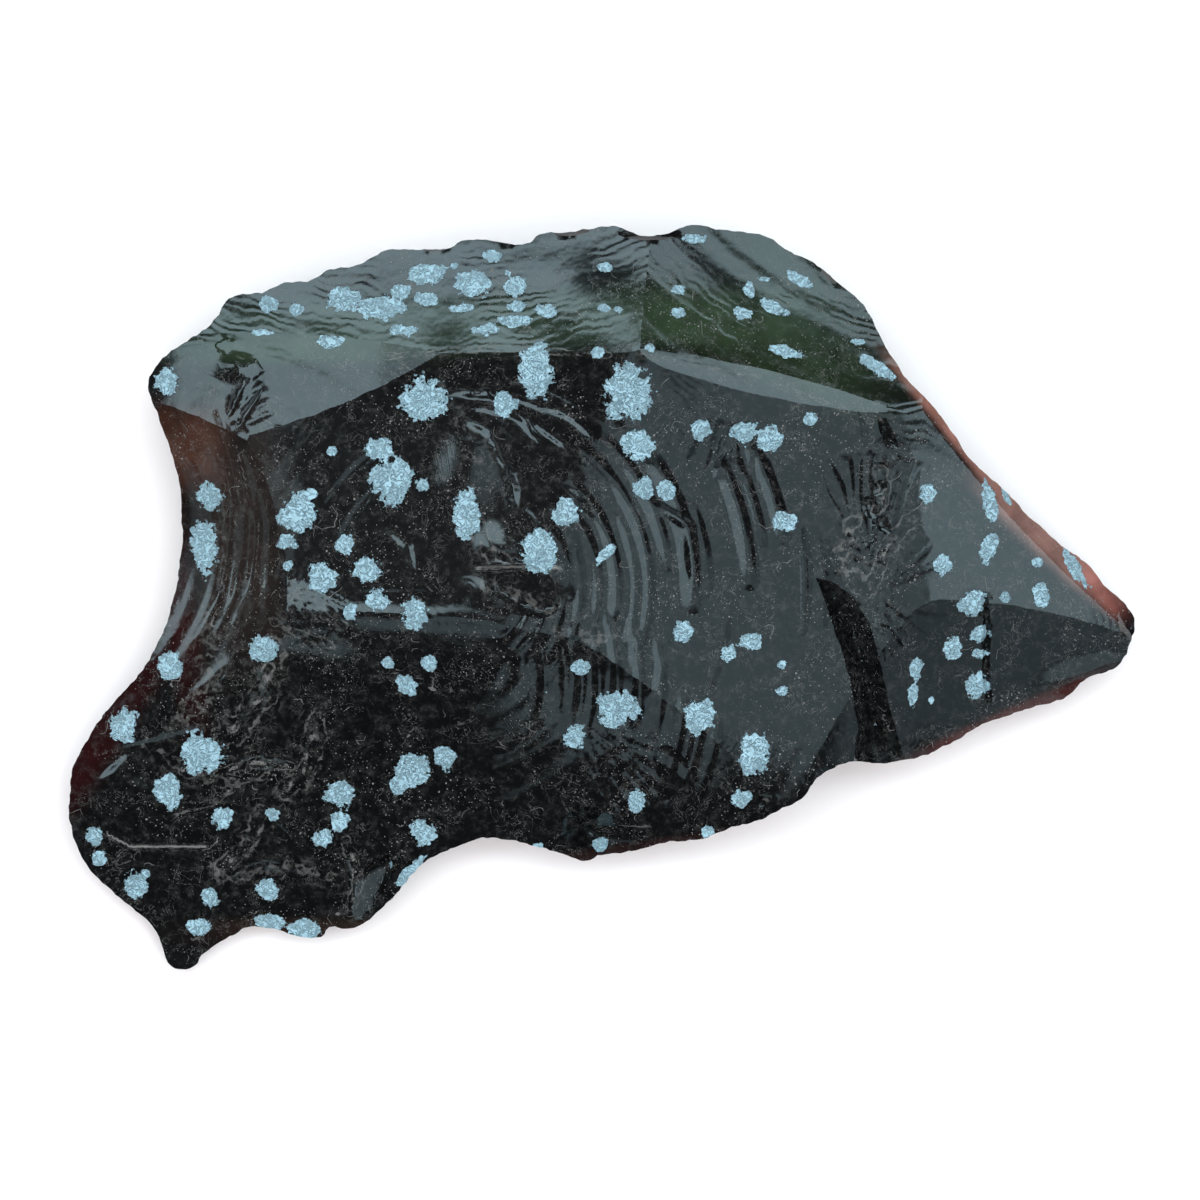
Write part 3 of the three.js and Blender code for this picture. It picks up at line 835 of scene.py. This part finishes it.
# Snowflakes of the upper face, in mm: long ones as (x, y, half length, half width, turn in degrees),
# the others as (x, y, half width, half height).
LONG_SNOWFLAKES = [
    (0.3, 3.5, 1.1, 0.35, 45), (12.8, 21.7, 1.1, 0.5, -25), (14.6, 23.8, 1.1, 0.45, -30),
    (20.3, 17.3, 1.5, 0.45, -32), (13.5, 18.4, 1.3, 0.4, -15), (28.8, 7.4, 1.5, 0.5, -75),
    (35.3, 2.5, 1.8, 0.5, -58), (30.2, 7.6, 0.8, 0.25, -60), (28.8, 3.9, 1.2, 0.6, 75),
    (32.7, 0.5, 1.0, 0.6, -65), (-14.4, -20.4, 1.6, 0.4, 50),
]
SNOWFLAKES = [
    # on the back slope
    (-24.7, 22.0, 0.7, 0.7), (-22.6, 21.6, 0.5, 0.5), (-19.3, 22.3, 1.3, 0.9), (-16.4, 21.7, 1.7, 0.9),
    (-14.9, 22.8, 0.7, 0.6), (-12.9, 24.2, 1.3, 0.8), (-13.0, 22.3, 1.0, 0.5), (-9.5, 23.3, 1.3, 1.0),
    (-8.0, 25.5, 0.8, 0.5), (-10.9, 24.8, 0.3, 0.3), (-7.0, 24.2, 0.3, 0.3), (-10.3, 21.6, 1.0, 0.3),
    (-6.4, 23.2, 0.8, 0.8), (-6.2, 21.7, 0.8, 0.4), (-4.1, 21.4, 0.8, 0.6), (-6.4, 20.6, 1.2, 0.5),
    (-8.4, 20.0, 1.0, 0.5), (-14.4, 20.0, 1.1, 0.5), (-20.1, 19.2, 1.0, 0.5), (-25.1, 19.9, 0.8, 0.3),
    (0.3, 24.6, 0.5, 0.4), (0.2, 21.5, 0.6, 0.3), (1.3, 21.4, 0.4, 0.3), (5.6, 22.9, 0.7, 0.4),
    (5.6, 21.2, 0.7, 0.4), (6.8, 26.8, 0.9, 0.4), (10.4, 21.2, 0.7, 0.5), (10.9, 22.9, 0.4, 0.6),
    (12.0, 23.8, 0.6, 0.2), (19.0, 19.1, 0.6, 0.3), (3.5, 18.5, 0.5, 0.4), (-0.3, 18.2, 0.5, 0.4),
    # on the hollows and the notch
    (-32.3, 16.3, 0.9, 0.9), (-29.2, 7.8, 1.0, 1.0), (-29.6, 4.1, 1.0, 1.9), (-32.3, -4.9, 1.0, 1.0),
    (-25.2, -3.5, 1.0, 1.0), (-22.5, 6.4, 1.3, 1.3), (-21.5, 7.9, 0.4, 0.4), (-23.3, 4.4, 0.7, 0.6),
    (-23.3, 2.6, 0.4, 0.4), (-19.9, 11.1, 0.4, 0.4), (-16.3, 11.2, 1.1, 0.9), (-15.5, 8.8, 1.6, 1.6),
    (-13.2, 8.5, 0.5, 0.5), (-13.2, 14.8, 1.6, 1.6), (-7.1, 14.5, 0.8, 1.0), (-4.8, 16.9, 1.2, 1.9),
    (-10.0, 6.5, 1.0, 1.9), (-2.6, 6.4, 1.0, 1.0), (-4.7, 3.6, 1.3, 1.6), (-19.0, 4.2, 0.7, 0.7),
    (-20.7, 1.7, 1.0, 1.0), (-17.4, 2.3, 1.1, 0.9), (-16.6, 0.1, 0.8, 0.8), (-18.6, -0.9, 0.6, 0.6),
    (-13.9, -0.9, 0.9, 1.3), (1.9, 15.2, 1.6, 2.0), (2.7, 11.5, 1.1, 1.1), (7.3, 12.6, 0.8, 0.8),
    (10.5, 12.3, 0.9, 0.9), (12.3, 11.9, 1.0, 1.0), (15.4, 13.4, 0.5, 0.5), (3.1, 8.3, 0.8, 0.8),
    (4.7, 8.2, 0.7, 0.7), (13.4, 5.9, 0.9, 0.7), (6.1, -2.2, 0.7, 0.7), (11.1, -3.0, 0.9, 0.7),
    (9.4, -3.9, 0.6, 0.6), (13.4, -4.7, 0.4, 0.4), (13.4, -6.7, 0.5, 0.4), (7.3, -8.5, 1.0, 1.2),
    (11.3, -11.4, 1.1, 1.5), (10.4, -14.7, 0.7, 0.7), (2.6, -14.9, 0.7, 0.8), (7.9, -17.2, 0.5, 0.5),
    (0.0, -18.5, 0.6, 0.6), (-4.7, -18.4, 0.4, 0.4), (-1.5, -4.9, 0.7, 0.7), (1.2, -7.9, 1.5, 1.4),
    (-1.9, -10.1, 0.9, 0.9), (-4.0, -6.7, 0.2, 0.2),
    # on the lobe and the bottom rim
    (-29.9, -11.4, 1.6, 1.6), (-35.8, -9.4, 1.0, 1.2), (-32.5, -14.4, 1.0, 1.3),
    (-28.4, -16.3, 0.8, 0.8), (-24.6, -16.0, 0.5, 0.5), (-38.1, -17.7, 0.6, 0.7),
    (-37.8, -19.3, 0.6, 0.6), (-35.1, -21.5, 0.9, 1.0), (-34.3, -20.5, 0.4, 0.4),
    (-29.5, -22.3, 0.7, 0.7), (-30.4, -24.6, 0.8, 0.7), (-25.2, -21.7, 0.8, 0.8),
    (-24.9, -24.2, 1.0, 0.6), (-22.2, -24.7, 1.3, 0.7), (-19.6, -14.4, 1.0, 1.0),
    (-19.5, -16.5, 0.7, 0.7), (-20.8, -17.8, 0.7, 0.7), (-14.1, -12.6, 1.2, 1.2),
    (-15.2, -13.8, 0.7, 0.7), (-11.7, -11.7, 0.7, 1.0), (-13.3, -17.3, 0.9, 1.0),
    (-15.7, -19.8, 0.3, 0.3), (-14.4, -6.2, 0.7, 0.8), (-12.8, -4.5, 0.6, 0.7),
    (-15.9, -4.6, 0.5, 0.5),
    # on the right wing
    (24.2, 7.9, 0.7, 0.7), (25.4, 2.6, 0.7, 0.7), (32.5, 2.9, 0.4, 0.4), (30.0, 0.2, 0.4, 0.4),
    (27.6, -0.2, 1.0, 0.9), (28.1, -2.5, 0.8, 0.7), (26.1, -3.5, 0.7, 0.9), (28.1, -3.9, 0.7, 0.4),
    (23.4, -4.9, 0.5, 0.9), (23.2, -7.0, 0.4, 0.9), (24.5, -7.4, 0.3, 0.3), (28.1, -6.4, 0.9, 1.0),
]


def height_finder(skin):
    """A function that gives the skin's height over x, y, or None beside it."""
    tree = BVHTree.FromPolygons(
        [Vector(point) for point in zip(skin.x, skin.y, skin.z)], skin.triangles.tolist())

    def height_at(x, y):
        hit = tree.ray_cast(Vector((x, y, 2 * BLANK_HEIGHT)), Vector((0, 0, -1)))[0]
        return None if hit is None else hit.z
    return height_at


def carve_upper(rim):
    """The upper face, cut down from a flat sheet above it."""
    skin = Skin(*triangulate(rim, FRONT_STEP), BLANK_HEIGHT)
    carve_large_scars(skin, UPPER_SCARS, 1)
    carve_details(skin)
    return skin


def carve_lower(rim, upper):
    """The underside, carved upside down, then turned back over."""
    upper_at = height_finder(upper)

    def top_at(x, y):
        height = upper_at(x, y)
        return float(upper_height(np.array([x]), np.array([y]))[0]) if height is None else height

    skin = Skin(*triangulate(rim, UNDER_STEP), 0)
    carve_large_scars(skin, LOWER_SCARS, -1)
    carve_rim_bevels(skin, rim, top_at)
    skin.z = -skin.z
    ceiling = np.array([top_at(*place) for place in zip(skin.x, skin.y)])
    skin.z = np.minimum(skin.z, ceiling - RIM_THICKNESS / 2)
    skin.z = np.maximum(skin.z, 0)
    return skin


def hidden_snowflakes(upper_at, lower_at):
    """Random snowflakes in the glass below the upper face: (centre, half sizes, turn) of each."""
    random = np.random.default_rng(SEED + 2)
    flakes = []
    while len(flakes) < HIDDEN_FLAKES:
        x, y = (random.uniform(-reach, reach) for reach in HIDDEN_PLACE)
        size = random.uniform(*HIDDEN_SIZE)
        top, bottom = upper_at(x, y), lower_at(x, y)
        if top is None or top - bottom < size + HIDDEN_COVER:
            continue
        z = bottom + random.uniform(*HIDDEN_HEIGHT) * size
        flakes.append(((x, y, z), (size, size * random.uniform(*HIDDEN_STRETCH), size), 0))
    return flakes


def flake_field(points, flakes):
    """For each point, how far it is from the nearest snowflake's middle, in that flake's sizes."""
    nearest = np.full(len(points), NO_FLAKE)
    for centre, half_sizes, turn in flakes:
        reach = FLAKE_REACH * max(half_sizes)
        close = np.nonzero(np.abs(points - centre).max(axis=1) < reach)[0]
        offset = points[close] - centre
        along, across = leaning(offset[:, 0], offset[:, 1], turn)
        turned = np.stack([along, across, offset[:, 2]], axis=1)
        apart = np.linalg.norm(turned / half_sizes, axis=1)
        nearest[close] = np.minimum(nearest[close], apart)
    return nearest


def add_object(name, data):
    made = bpy.data.objects.new(name, data)
    bpy.context.scene.collection.objects.link(made)
    return made


def add_attribute(mesh, name, kind, domain, values):
    """One number or colour for each of the mesh's points, corners or edges."""
    attribute = mesh.attributes.new(name, kind, domain)
    field = "color" if kind == "FLOAT_COLOR" else "value"
    attribute.data.foreach_set(field, values)


def build_chunk():
    """The whole chunk as one mesh, with what its material needs to know at each point."""
    rim = smooth_rim()
    upper = carve_upper(rim)
    lower = carve_lower(rim, upper)
    count = len(upper.x)
    wall = rim_wall(upper, lower, count)
    points = np.concatenate([
        np.stack([upper.x, upper.y, upper.z], axis=1),
        np.stack([lower.x, lower.y, lower.z], axis=1),
    ])
    swell = waves(points[:, 0], points[:, 1], SWELL)
    points[:, 2] += np.where(points[:, 2] > 0, swell - swell.min(), 0)
    triangles = np.concatenate([upper.triangles, lower.triangles[:, ::-1] + count, wall])
    scar = np.concatenate([upper.scar, lower.scar + UNDER_NUMBER, np.full(len(wall), WALL_NUMBER)])
    mesh = bpy.data.meshes.new("obsidian_chunk_glass")
    mesh.from_pydata((points * MM).tolist(), [], triangles.tolist())
    mesh.polygons.foreach_set("use_smooth", np.ones(len(triangles), bool))
    mark_sharp_edges(mesh, scar)
    add_scar_coordinates(mesh, points, triangles, scar)
    # painted light: light through the thin glass and reflections, as a colour at each point
    add_painted_light(mesh, points)
    # film, lint and painted reflections along the grooves
    add_film_and_sheen(mesh, points)
    add_snowflakes(mesh, points, upper, lower)
    mesh.validate()
    return add_object("obsidian_chunk_glass", mesh)


def mark_sharp_edges(mesh, scar):
    """Sharp where two scars meet at more than a slight angle."""
    mesh.update()
    edge_of_corner = np.zeros(len(mesh.loops), int)
    mesh.loops.foreach_get("edge_index", edge_of_corner)
    normals = np.zeros(len(mesh.polygons) * 3)
    mesh.polygons.foreach_get("normal", normals)
    normals = normals.reshape(-1, 3)
    order = np.argsort(edge_of_corner, kind="stable")
    face = (order // 3).reshape(-1, 2)
    edge = edge_of_corner[order].reshape(-1, 2)[:, 0]
    cosine = np.einsum("ij,ij->i", normals[face[:, 0]], normals[face[:, 1]])
    differ = scar[face[:, 0]] != scar[face[:, 1]]
    sharp = np.zeros(len(mesh.edges), bool)
    sharp[edge] = (differ & (cosine < SHARP_BETWEEN)) | (cosine < SHARP_WITHIN)
    add_attribute(mesh, "sharp_edge", "BOOLEAN", "EDGE", sharp)


def strikes():
    """The blow's point of each scar's number."""
    places = {number: scar["strike"] for number, scar in enumerate(UPPER_SCARS.values(), start=1)}
    for number, scar in enumerate(LOWER_SCARS.values(), start=1):
        places[UNDER_NUMBER + number] = scar["strike"]
    return places


def add_scar_coordinates(mesh, points, triangles, scar):
    """At each corner: how far it is from its scar's blow, in mm, and the turn round it."""
    corner_points = points[triangles.ravel()]
    corner_scar = np.repeat(scar, 3)
    away = np.zeros(len(corner_points))
    turn = np.zeros(len(corner_points))
    places = strikes()
    for number in np.unique(scar):
        strike = places.get(int(number), (0.0, 0.0))
        mine = corner_scar == number
        dx, dy = corner_points[mine, 0] - strike[0], corner_points[mine, 1] - strike[1]
        away[mine] = np.hypot(dx, dy)
        turn[mine] = np.arctan2(dy, dx)
    add_attribute(mesh, "away", "FLOAT", "CORNER", away.astype(np.float32))
    add_attribute(mesh, "turn", "FLOAT", "CORNER", turn.astype(np.float32))


def add_painted_light(mesh, points):
    """At each point: the painted light colour, for light shining through the thin glass and for
    reflections of the surroundings.
    """
    x, y = points[:, 0], points[:, 1]
    colour = np.zeros((len(points), 4))
    for middle, (half_x, half_y), turn, painted_light in PAINTED_LIGHT_TINTS:
        along, across = leaning(x - middle[0], y - middle[1], turn)
        strength = np.exp(-((along / half_x) ** 4) - (across / half_y) ** 4)
        colour[:, :3] += strength[:, None] * np.array(painted_light)
    add_attribute(mesh, "painted_light", "FLOAT_COLOR", "POINT", colour.ravel().astype(np.float32))


def add_film_and_sheen(mesh, points):
    """At each point: how strong the film, lint and painted reflections along the grooves are there, on
    the upper face.
    """
    x, y = points[:, 0], points[:, 1]
    film_and_sheen = np.zeros(len(points))
    for line, width, strength in FILM_AND_SHEEN_LINES:
        across = line_distance(x, y, line) / width
        film_and_sheen = np.maximum(film_and_sheen, strength * np.exp(-(across**2)))
    film_and_sheen[points[:, 2] < lowest_film_and_sheen(x, y)] = 0
    add_attribute(mesh, "film_and_sheen", "FLOAT", "POINT", film_and_sheen.astype(np.float32))


def lowest_film_and_sheen(x, y):
    """Halfway between the two faces: what lies lower is the underside."""
    return (upper_height(x, y) + lower_height(x, y)) / 2


def add_snowflakes(mesh, points, upper, lower):
    """At each point: how far it is from the middle of the nearest snowflake."""
    upper_at, lower_at = height_finder(upper), height_finder(lower)
    flakes = []
    upright = [(*flake, 0) for flake in SNOWFLAKES]
    for x, y, half_length, half_width, turn in LONG_SNOWFLAKES + upright:
        z = upper_at(x, y)
        if z is not None:
            half_sizes = (half_length, half_width, (half_length + half_width) / 2)
            flakes.append(((x, y, z), half_sizes, turn))
    flakes += hidden_snowflakes(upper_at, lower_at)
    nearest = flake_field(points, flakes)
    add_attribute(mesh, "flake", "FLOAT", "POINT", nearest.astype(np.float32))


class Nodes:
    """A short way to write a material's nodes."""

    def __init__(self, name):
        self.material = bpy.data.materials.new(name)
        self.material.use_nodes = True
        self.tree = self.material.node_tree
        self.tree.nodes.clear()

    def add(self, kind, **settings):
        node = self.tree.nodes.new(kind)
        for name, value in settings.items():
            setattr(node, name, value)
        return node

    def link(self, value, socket):
        if isinstance(value, bpy.types.NodeSocket):
            self.tree.links.new(value, socket)
        else:
            socket.default_value = value

    def attribute(self, name):
        return self.add("ShaderNodeAttribute", attribute_name=name).outputs["Fac"]

    def millimetres(self):
        place = self.add("ShaderNodeTexCoord").outputs["Object"]
        scaled = self.add("ShaderNodeVectorMath", operation="SCALE")
        self.link(place, scaled.inputs[0])
        scaled.inputs["Scale"].default_value = 1 / MM
        return scaled.outputs[0]

    def math(self, operation, first, second=0.0):
        node = self.add("ShaderNodeMath", operation=operation)
        self.link(first, node.inputs[0])
        self.link(second, node.inputs[1])
        return node.outputs[0]

    def times(self, first, second):
        return self.math("MULTIPLY", first, second)

    def off(self, value, middle):
        """How far the value is from a middle one."""
        return self.math("ABSOLUTE", self.math("SUBTRACT", value, middle))

    def noise(self, vector, scale, detail=3.0, roughness=0.5, distortion=0.0):
        node = self.add("ShaderNodeTexNoise")
        self.link(vector, node.inputs["Vector"])
        node.inputs["Scale"].default_value = scale
        node.inputs["Detail"].default_value = detail
        node.inputs["Roughness"].default_value = roughness
        node.inputs["Distortion"].default_value = distortion
        return node.outputs["Fac"]

    def spots(self, vector, scale):
        """How far each place is from the nearest of some random points."""
        node = self.add("ShaderNodeTexVoronoi", feature="F1")
        self.link(vector, node.inputs["Vector"])
        node.inputs["Scale"].default_value = scale
        return node.outputs["Distance"]

    def step(self, value, low, high):
        """0 below low, 1 above high, and smooth between."""
        node = self.add("ShaderNodeMapRange", interpolation_type="SMOOTHSTEP")
        self.link(value, node.inputs["Value"])
        node.inputs["From Min"].default_value = low
        node.inputs["From Max"].default_value = high
        return node.outputs["Result"]

    def fade(self, value, low, high):
        """1 below low, 0 above high, and smooth between."""
        return self.math("SUBTRACT", 1.0, self.step(value, low, high))

    def weighed(self, parts):
        """The sum of (value, weight) pairs."""
        total = 0.0
        for value, weight in parts:
            node = self.add("ShaderNodeMath", operation="MULTIPLY_ADD")
            self.link(value, node.inputs[0])
            self.link(weight, node.inputs[1])
            self.link(total, node.inputs[2])
            total = node.outputs[0]
        return total

    def bent(self, place, scale, reach):
        """The place, pushed about by a noise of that scale by up to reach."""
        noise = self.add("ShaderNodeTexNoise")
        self.link(place, noise.inputs["Vector"])
        noise.inputs["Scale"].default_value = scale
        push = self.add("ShaderNodeVectorMath", operation="MULTIPLY_ADD")
        self.link(noise.outputs["Color"], push.inputs[0])
        push.inputs[1].default_value = (reach, reach, reach)
        self.link(place, push.inputs[2])
        return push.outputs[0]

    def blend(self, factor, first, second, kind="MIX"):
        node = self.add("ShaderNodeMix", data_type="RGBA", blend_type=kind)
        self.link(factor, node.inputs["Factor"])
        for name, colour in (("A", first), ("B", second)):
            socket = next(i for i in node.inputs if i.name == name and i.type == "RGBA")
            self.link(colour, socket)
        return next(o for o in node.outputs if o.type == "RGBA")

    def mix(self, factor, first, second):
        node = self.add("ShaderNodeMix", data_type="FLOAT")
        self.link(factor, node.inputs["Factor"])
        self.link(first, node.inputs["A"])
        self.link(second, node.inputs["B"])
        return node.outputs["Result"]

    def bump(self, height, distance, normal=None):
        node = self.add("ShaderNodeBump")
        self.link(height, node.inputs["Height"])
        node.inputs["Distance"].default_value = distance
        if normal is not None:
            self.link(normal, node.inputs["Normal"])
        return node.outputs["Normal"]

    def finish(self, **inputs):
        shader = self.add("ShaderNodeBsdfPrincipled")
        output = self.add("ShaderNodeOutputMaterial")
        for name, value in inputs.items():
            self.link(value, shader.inputs[name.replace("_", " ")])
        self.tree.links.new(shader.outputs[0], output.inputs["Surface"])
        return self.material


def snowflake_mask(nodes, place):
    """1 on a snowflake: the nearest one's oval, made ragged."""
    lobes = nodes.noise(place, 0.8, detail=1.0)
    fine = nodes.noise(place, 2.2, detail=4.0, roughness=0.65)
    ragged = nodes.weighed([(lobes, 1.0), (fine, 1.5), (nodes.attribute("flake"), 1.0)])
    return nodes.fade(ragged, 2.26, 2.31)


def crystal_colour(nodes, place):
    """How pale the crystal is, and its blue-grey colour, crossed by fine darker threads."""
    threads = nodes.noise(place, 1.7, detail=4.0, roughness=0.7, distortion=1.5)
    threads = nodes.step(nodes.off(threads, 0.5), 0.0, 0.05)
    cloud = nodes.step(nodes.noise(place, 1.1, detail=5.0, roughness=0.7), 0.3, 0.6)
    pale = nodes.times(nodes.mix(threads, 0.45, 1.0), nodes.mix(cloud, 0.6, 1.0))
    return pale, nodes.blend(pale, DARK_CRYSTAL, PALE_CRYSTAL)


def glass_colour(nodes, place):
    """Black glass with painted light added: light shining through its thin parts, and reflections."""
    painted_light = nodes.add("ShaderNodeAttribute", attribute_name="painted_light").outputs["Color"]
    cloud = nodes.step(nodes.noise(place, 0.5, detail=4.0, roughness=0.6), 0.25, 0.75)
    painted_light = nodes.blend(nodes.mix(cloud, 0.55, 1.0), (0, 0, 0, 1), painted_light)
    return nodes.blend(1.0, BLACK_GLASS, painted_light, kind="ADD")


def dust_mask(nodes, place):
    """1 on dust: scattered specks of two sizes, and fainter short lint hairs."""
    patches = nodes.noise(place, 0.22, detail=3.0)
    uneven = nodes.noise(place, 5.0, detail=2.0)
    large = nodes.weighed([(nodes.spots(place, 1.3), 1.0), (uneven, 0.16)])
    large = nodes.times(nodes.fade(large, 0.15, 0.18), nodes.step(patches, 0.47, 0.62))
    small = nodes.weighed([(nodes.spots(place, 3.4), 1.0), (uneven, 0.3)])
    small = nodes.times(nodes.fade(small, 0.25, 0.32), nodes.step(patches, 0.42, 0.60))
    ring = nodes.spots(nodes.bent(place, 0.6, 1.6), 0.42)
    hairs = nodes.fade(nodes.off(ring, 0.42), 0.004, 0.010)
    hairs = nodes.times(hairs, nodes.step(nodes.noise(place, 0.6, detail=0.0), 0.68, 0.72))
    specks = nodes.math("MAXIMUM", large, small)
    return nodes.math("MAXIMUM", specks, nodes.times(hairs, 0.6))


def film_and_sheen_mask(nodes, place):
    """How much dry film, finest fibre and painted reflections along the grooves lie on the glass, from 0
    up to about 1.
    """
    smudges = nodes.step(nodes.noise(place, 1.3, detail=7.0, roughness=0.8), 0.46, 0.80)
    bends = nodes.noise(place, 1.0, detail=3.0, roughness=0.6, distortion=0.8)
    fibres = nodes.fade(nodes.off(bends, 0.5), 0.003, 0.014)
    fibres = nodes.times(fibres, nodes.step(nodes.noise(place, 0.45, detail=2.0), 0.42, 0.58))
    # the grooves' light lines: painted reflections, with some film
    groove = nodes.attribute("film_and_sheen")
    lines = nodes.weighed([(groove, 13.0), (nodes.noise(place, 0.9, detail=4.0), 16.0)])
    lines = nodes.step(nodes.math("SINE", lines), 0.25, 0.95)
    broken = nodes.step(nodes.noise(place, 1.4, detail=3.0, roughness=0.6), 0.38, 0.60)
    in_groove = nodes.weighed([(nodes.times(lines, broken), 0.75), (smudges, 0.40)])
    wisps = nodes.times(groove, in_groove)
    thread = nodes.step(groove, 1.0, 1.3)
    return nodes.weighed([(smudges, 0.20), (fibres, 0.30), (wisps, 1.0), (thread, 0.6)])


def finest_ripples(nodes, place):
    """Heights of the finest ripples, round each scar's blow; they come and go."""
    uneven = nodes.noise(place, 0.30, detail=3.0)
    run = nodes.weighed([(nodes.attribute("away"), math.tau / RIPPLE_LENGTH), (uneven, 26.0)])
    calm = nodes.step(nodes.noise(place, 0.16, detail=2.0), 0.38, 0.66)
    return nodes.times(nodes.math("SINE", run), calm)


def finest_streaks(nodes, place):
    """Heights of the finest streaks, which run away from each scar's blow."""
    along = nodes.add("ShaderNodeCombineXYZ")
    nodes.link(nodes.times(nodes.attribute("turn"), 55.0), along.inputs["X"])
    nodes.link(nodes.times(nodes.attribute("away"), 0.22), along.inputs["Y"])
    streaks = nodes.noise(along.outputs[0], 1.0, detail=3.0, roughness=0.6)
    return nodes.times(streaks, nodes.step(nodes.noise(place, 0.21), 0.45, 0.65))


def obsidian():
    """Black glass with its painted light tints, and on it film with painted reflections, dust and the
    rougher crystals.
    """
    nodes = Nodes("obsidian")
    place = nodes.millimetres()
    flake = snowflake_mask(nodes, place)
    pale, crystal = crystal_colour(nodes, place)
    dust = dust_mask(nodes, place)
    film_and_sheen = film_and_sheen_mask(nodes, place)
    # the film and the painted reflections along the grooves, in the dust grey
    glass = nodes.blend(film_and_sheen, glass_colour(nodes, place), DUST_AND_SHEEN)
    colour = nodes.blend(flake, nodes.blend(dust, glass, DUST_AND_SHEEN), crystal)
    roughness = nodes.mix(film_and_sheen, GLASS_ROUGHNESS, FILM_AND_SHEEN_ROUGHNESS)
    roughness = nodes.mix(dust, roughness, DUST_ROUGHNESS)
    roughness = nodes.mix(flake, roughness, CRYSTAL_ROUGHNESS)
    normal = None
    for height, distance in (
        (finest_ripples(nodes, place), RIPPLE_HEIGHT),
        (finest_streaks(nodes, place), STREAK_HEIGHT),
        (nodes.noise(place, 0.8, detail=2.0, roughness=0.5), WAVE_HEIGHT),
        (nodes.times(pale, flake), CRYSTAL_HEIGHT),
    ):
        normal = nodes.bump(height, distance * MM, normal)
    return nodes.finish(Base_Color=colour, Roughness=roughness, IOR=GLASS_IOR, Normal=normal)


def floor_material():
    nodes = Nodes("pale_floor")
    grain = nodes.noise(nodes.millimetres(), 0.05)
    return nodes.finish(Base_Color=nodes.blend(grain, *FLOOR_GREYS), Roughness=FLOOR_ROUGHNESS)


def build_floor():
    mesh = bpy.data.meshes.new("floor")
    corners = [(-1, -1), (1, -1), (1, 1), (-1, 1)]
    points = [(x * FLOOR_REACH, y * FLOOR_REACH, 0) for x, y in corners]
    mesh.from_pydata(points, [], [(0, 1, 2, 3)])
    mesh.materials.append(floor_material())
    return add_object("floor", mesh)


def add_panel(name, place, size, watts_per_square_metre, colour, seen_in_glass=True):
    """A flat rectangular light above the chunk, facing down; sizes and place in metres."""
    light = bpy.data.lights.new(name, "AREA")
    light.shape = "RECTANGLE"
    light.size, light.size_y = size
    light.color = colour
    light.energy = watts_per_square_metre * size[0] * size[1]
    lamp = add_object(name, light)
    lamp.location = place
    lamp.visible_glossy = seen_in_glass


def build_lights():
    world = bpy.data.worlds.new("studio")
    world.use_nodes = True
    world.node_tree.nodes["Background"].inputs["Color"].default_value = DARK_ROOM
    bpy.context.scene.world = world
    for name, (x, y, width, depth, strength) in WINDOWS.items():
        for height, share in PANEL_LAYERS:
            size = (width * share, depth * share)
            add_panel(name, (x, y, height), size, strength / len(PANEL_LAYERS), SKYLIGHT)
    add_panel("fill", FILL_PLACE, FILL_SIZE, FILL_STRENGTH, FILL_COLOUR, seen_in_glass=False)


def build_camera():
    """Straight above, with the frame's width set at the height of the chunk's middle."""
    data = bpy.data.cameras.new("camera")
    data.sensor_width = SENSOR_WIDTH
    data.lens = SENSOR_WIDTH * (CAMERA_PLACE[2] - FOCUS_HEIGHT) / FRAME_WIDTH
    camera = add_object("camera", data)
    camera.location = CAMERA_PLACE
    bpy.context.scene.camera = camera


build_camera()
chunk = build_chunk()
chunk.data.materials.append(obsidian())
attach(chunk, "root")
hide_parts("obsidian_chunk")
build_floor()
build_lights()
bpy.context.scene.view_settings.view_transform = "Standard"
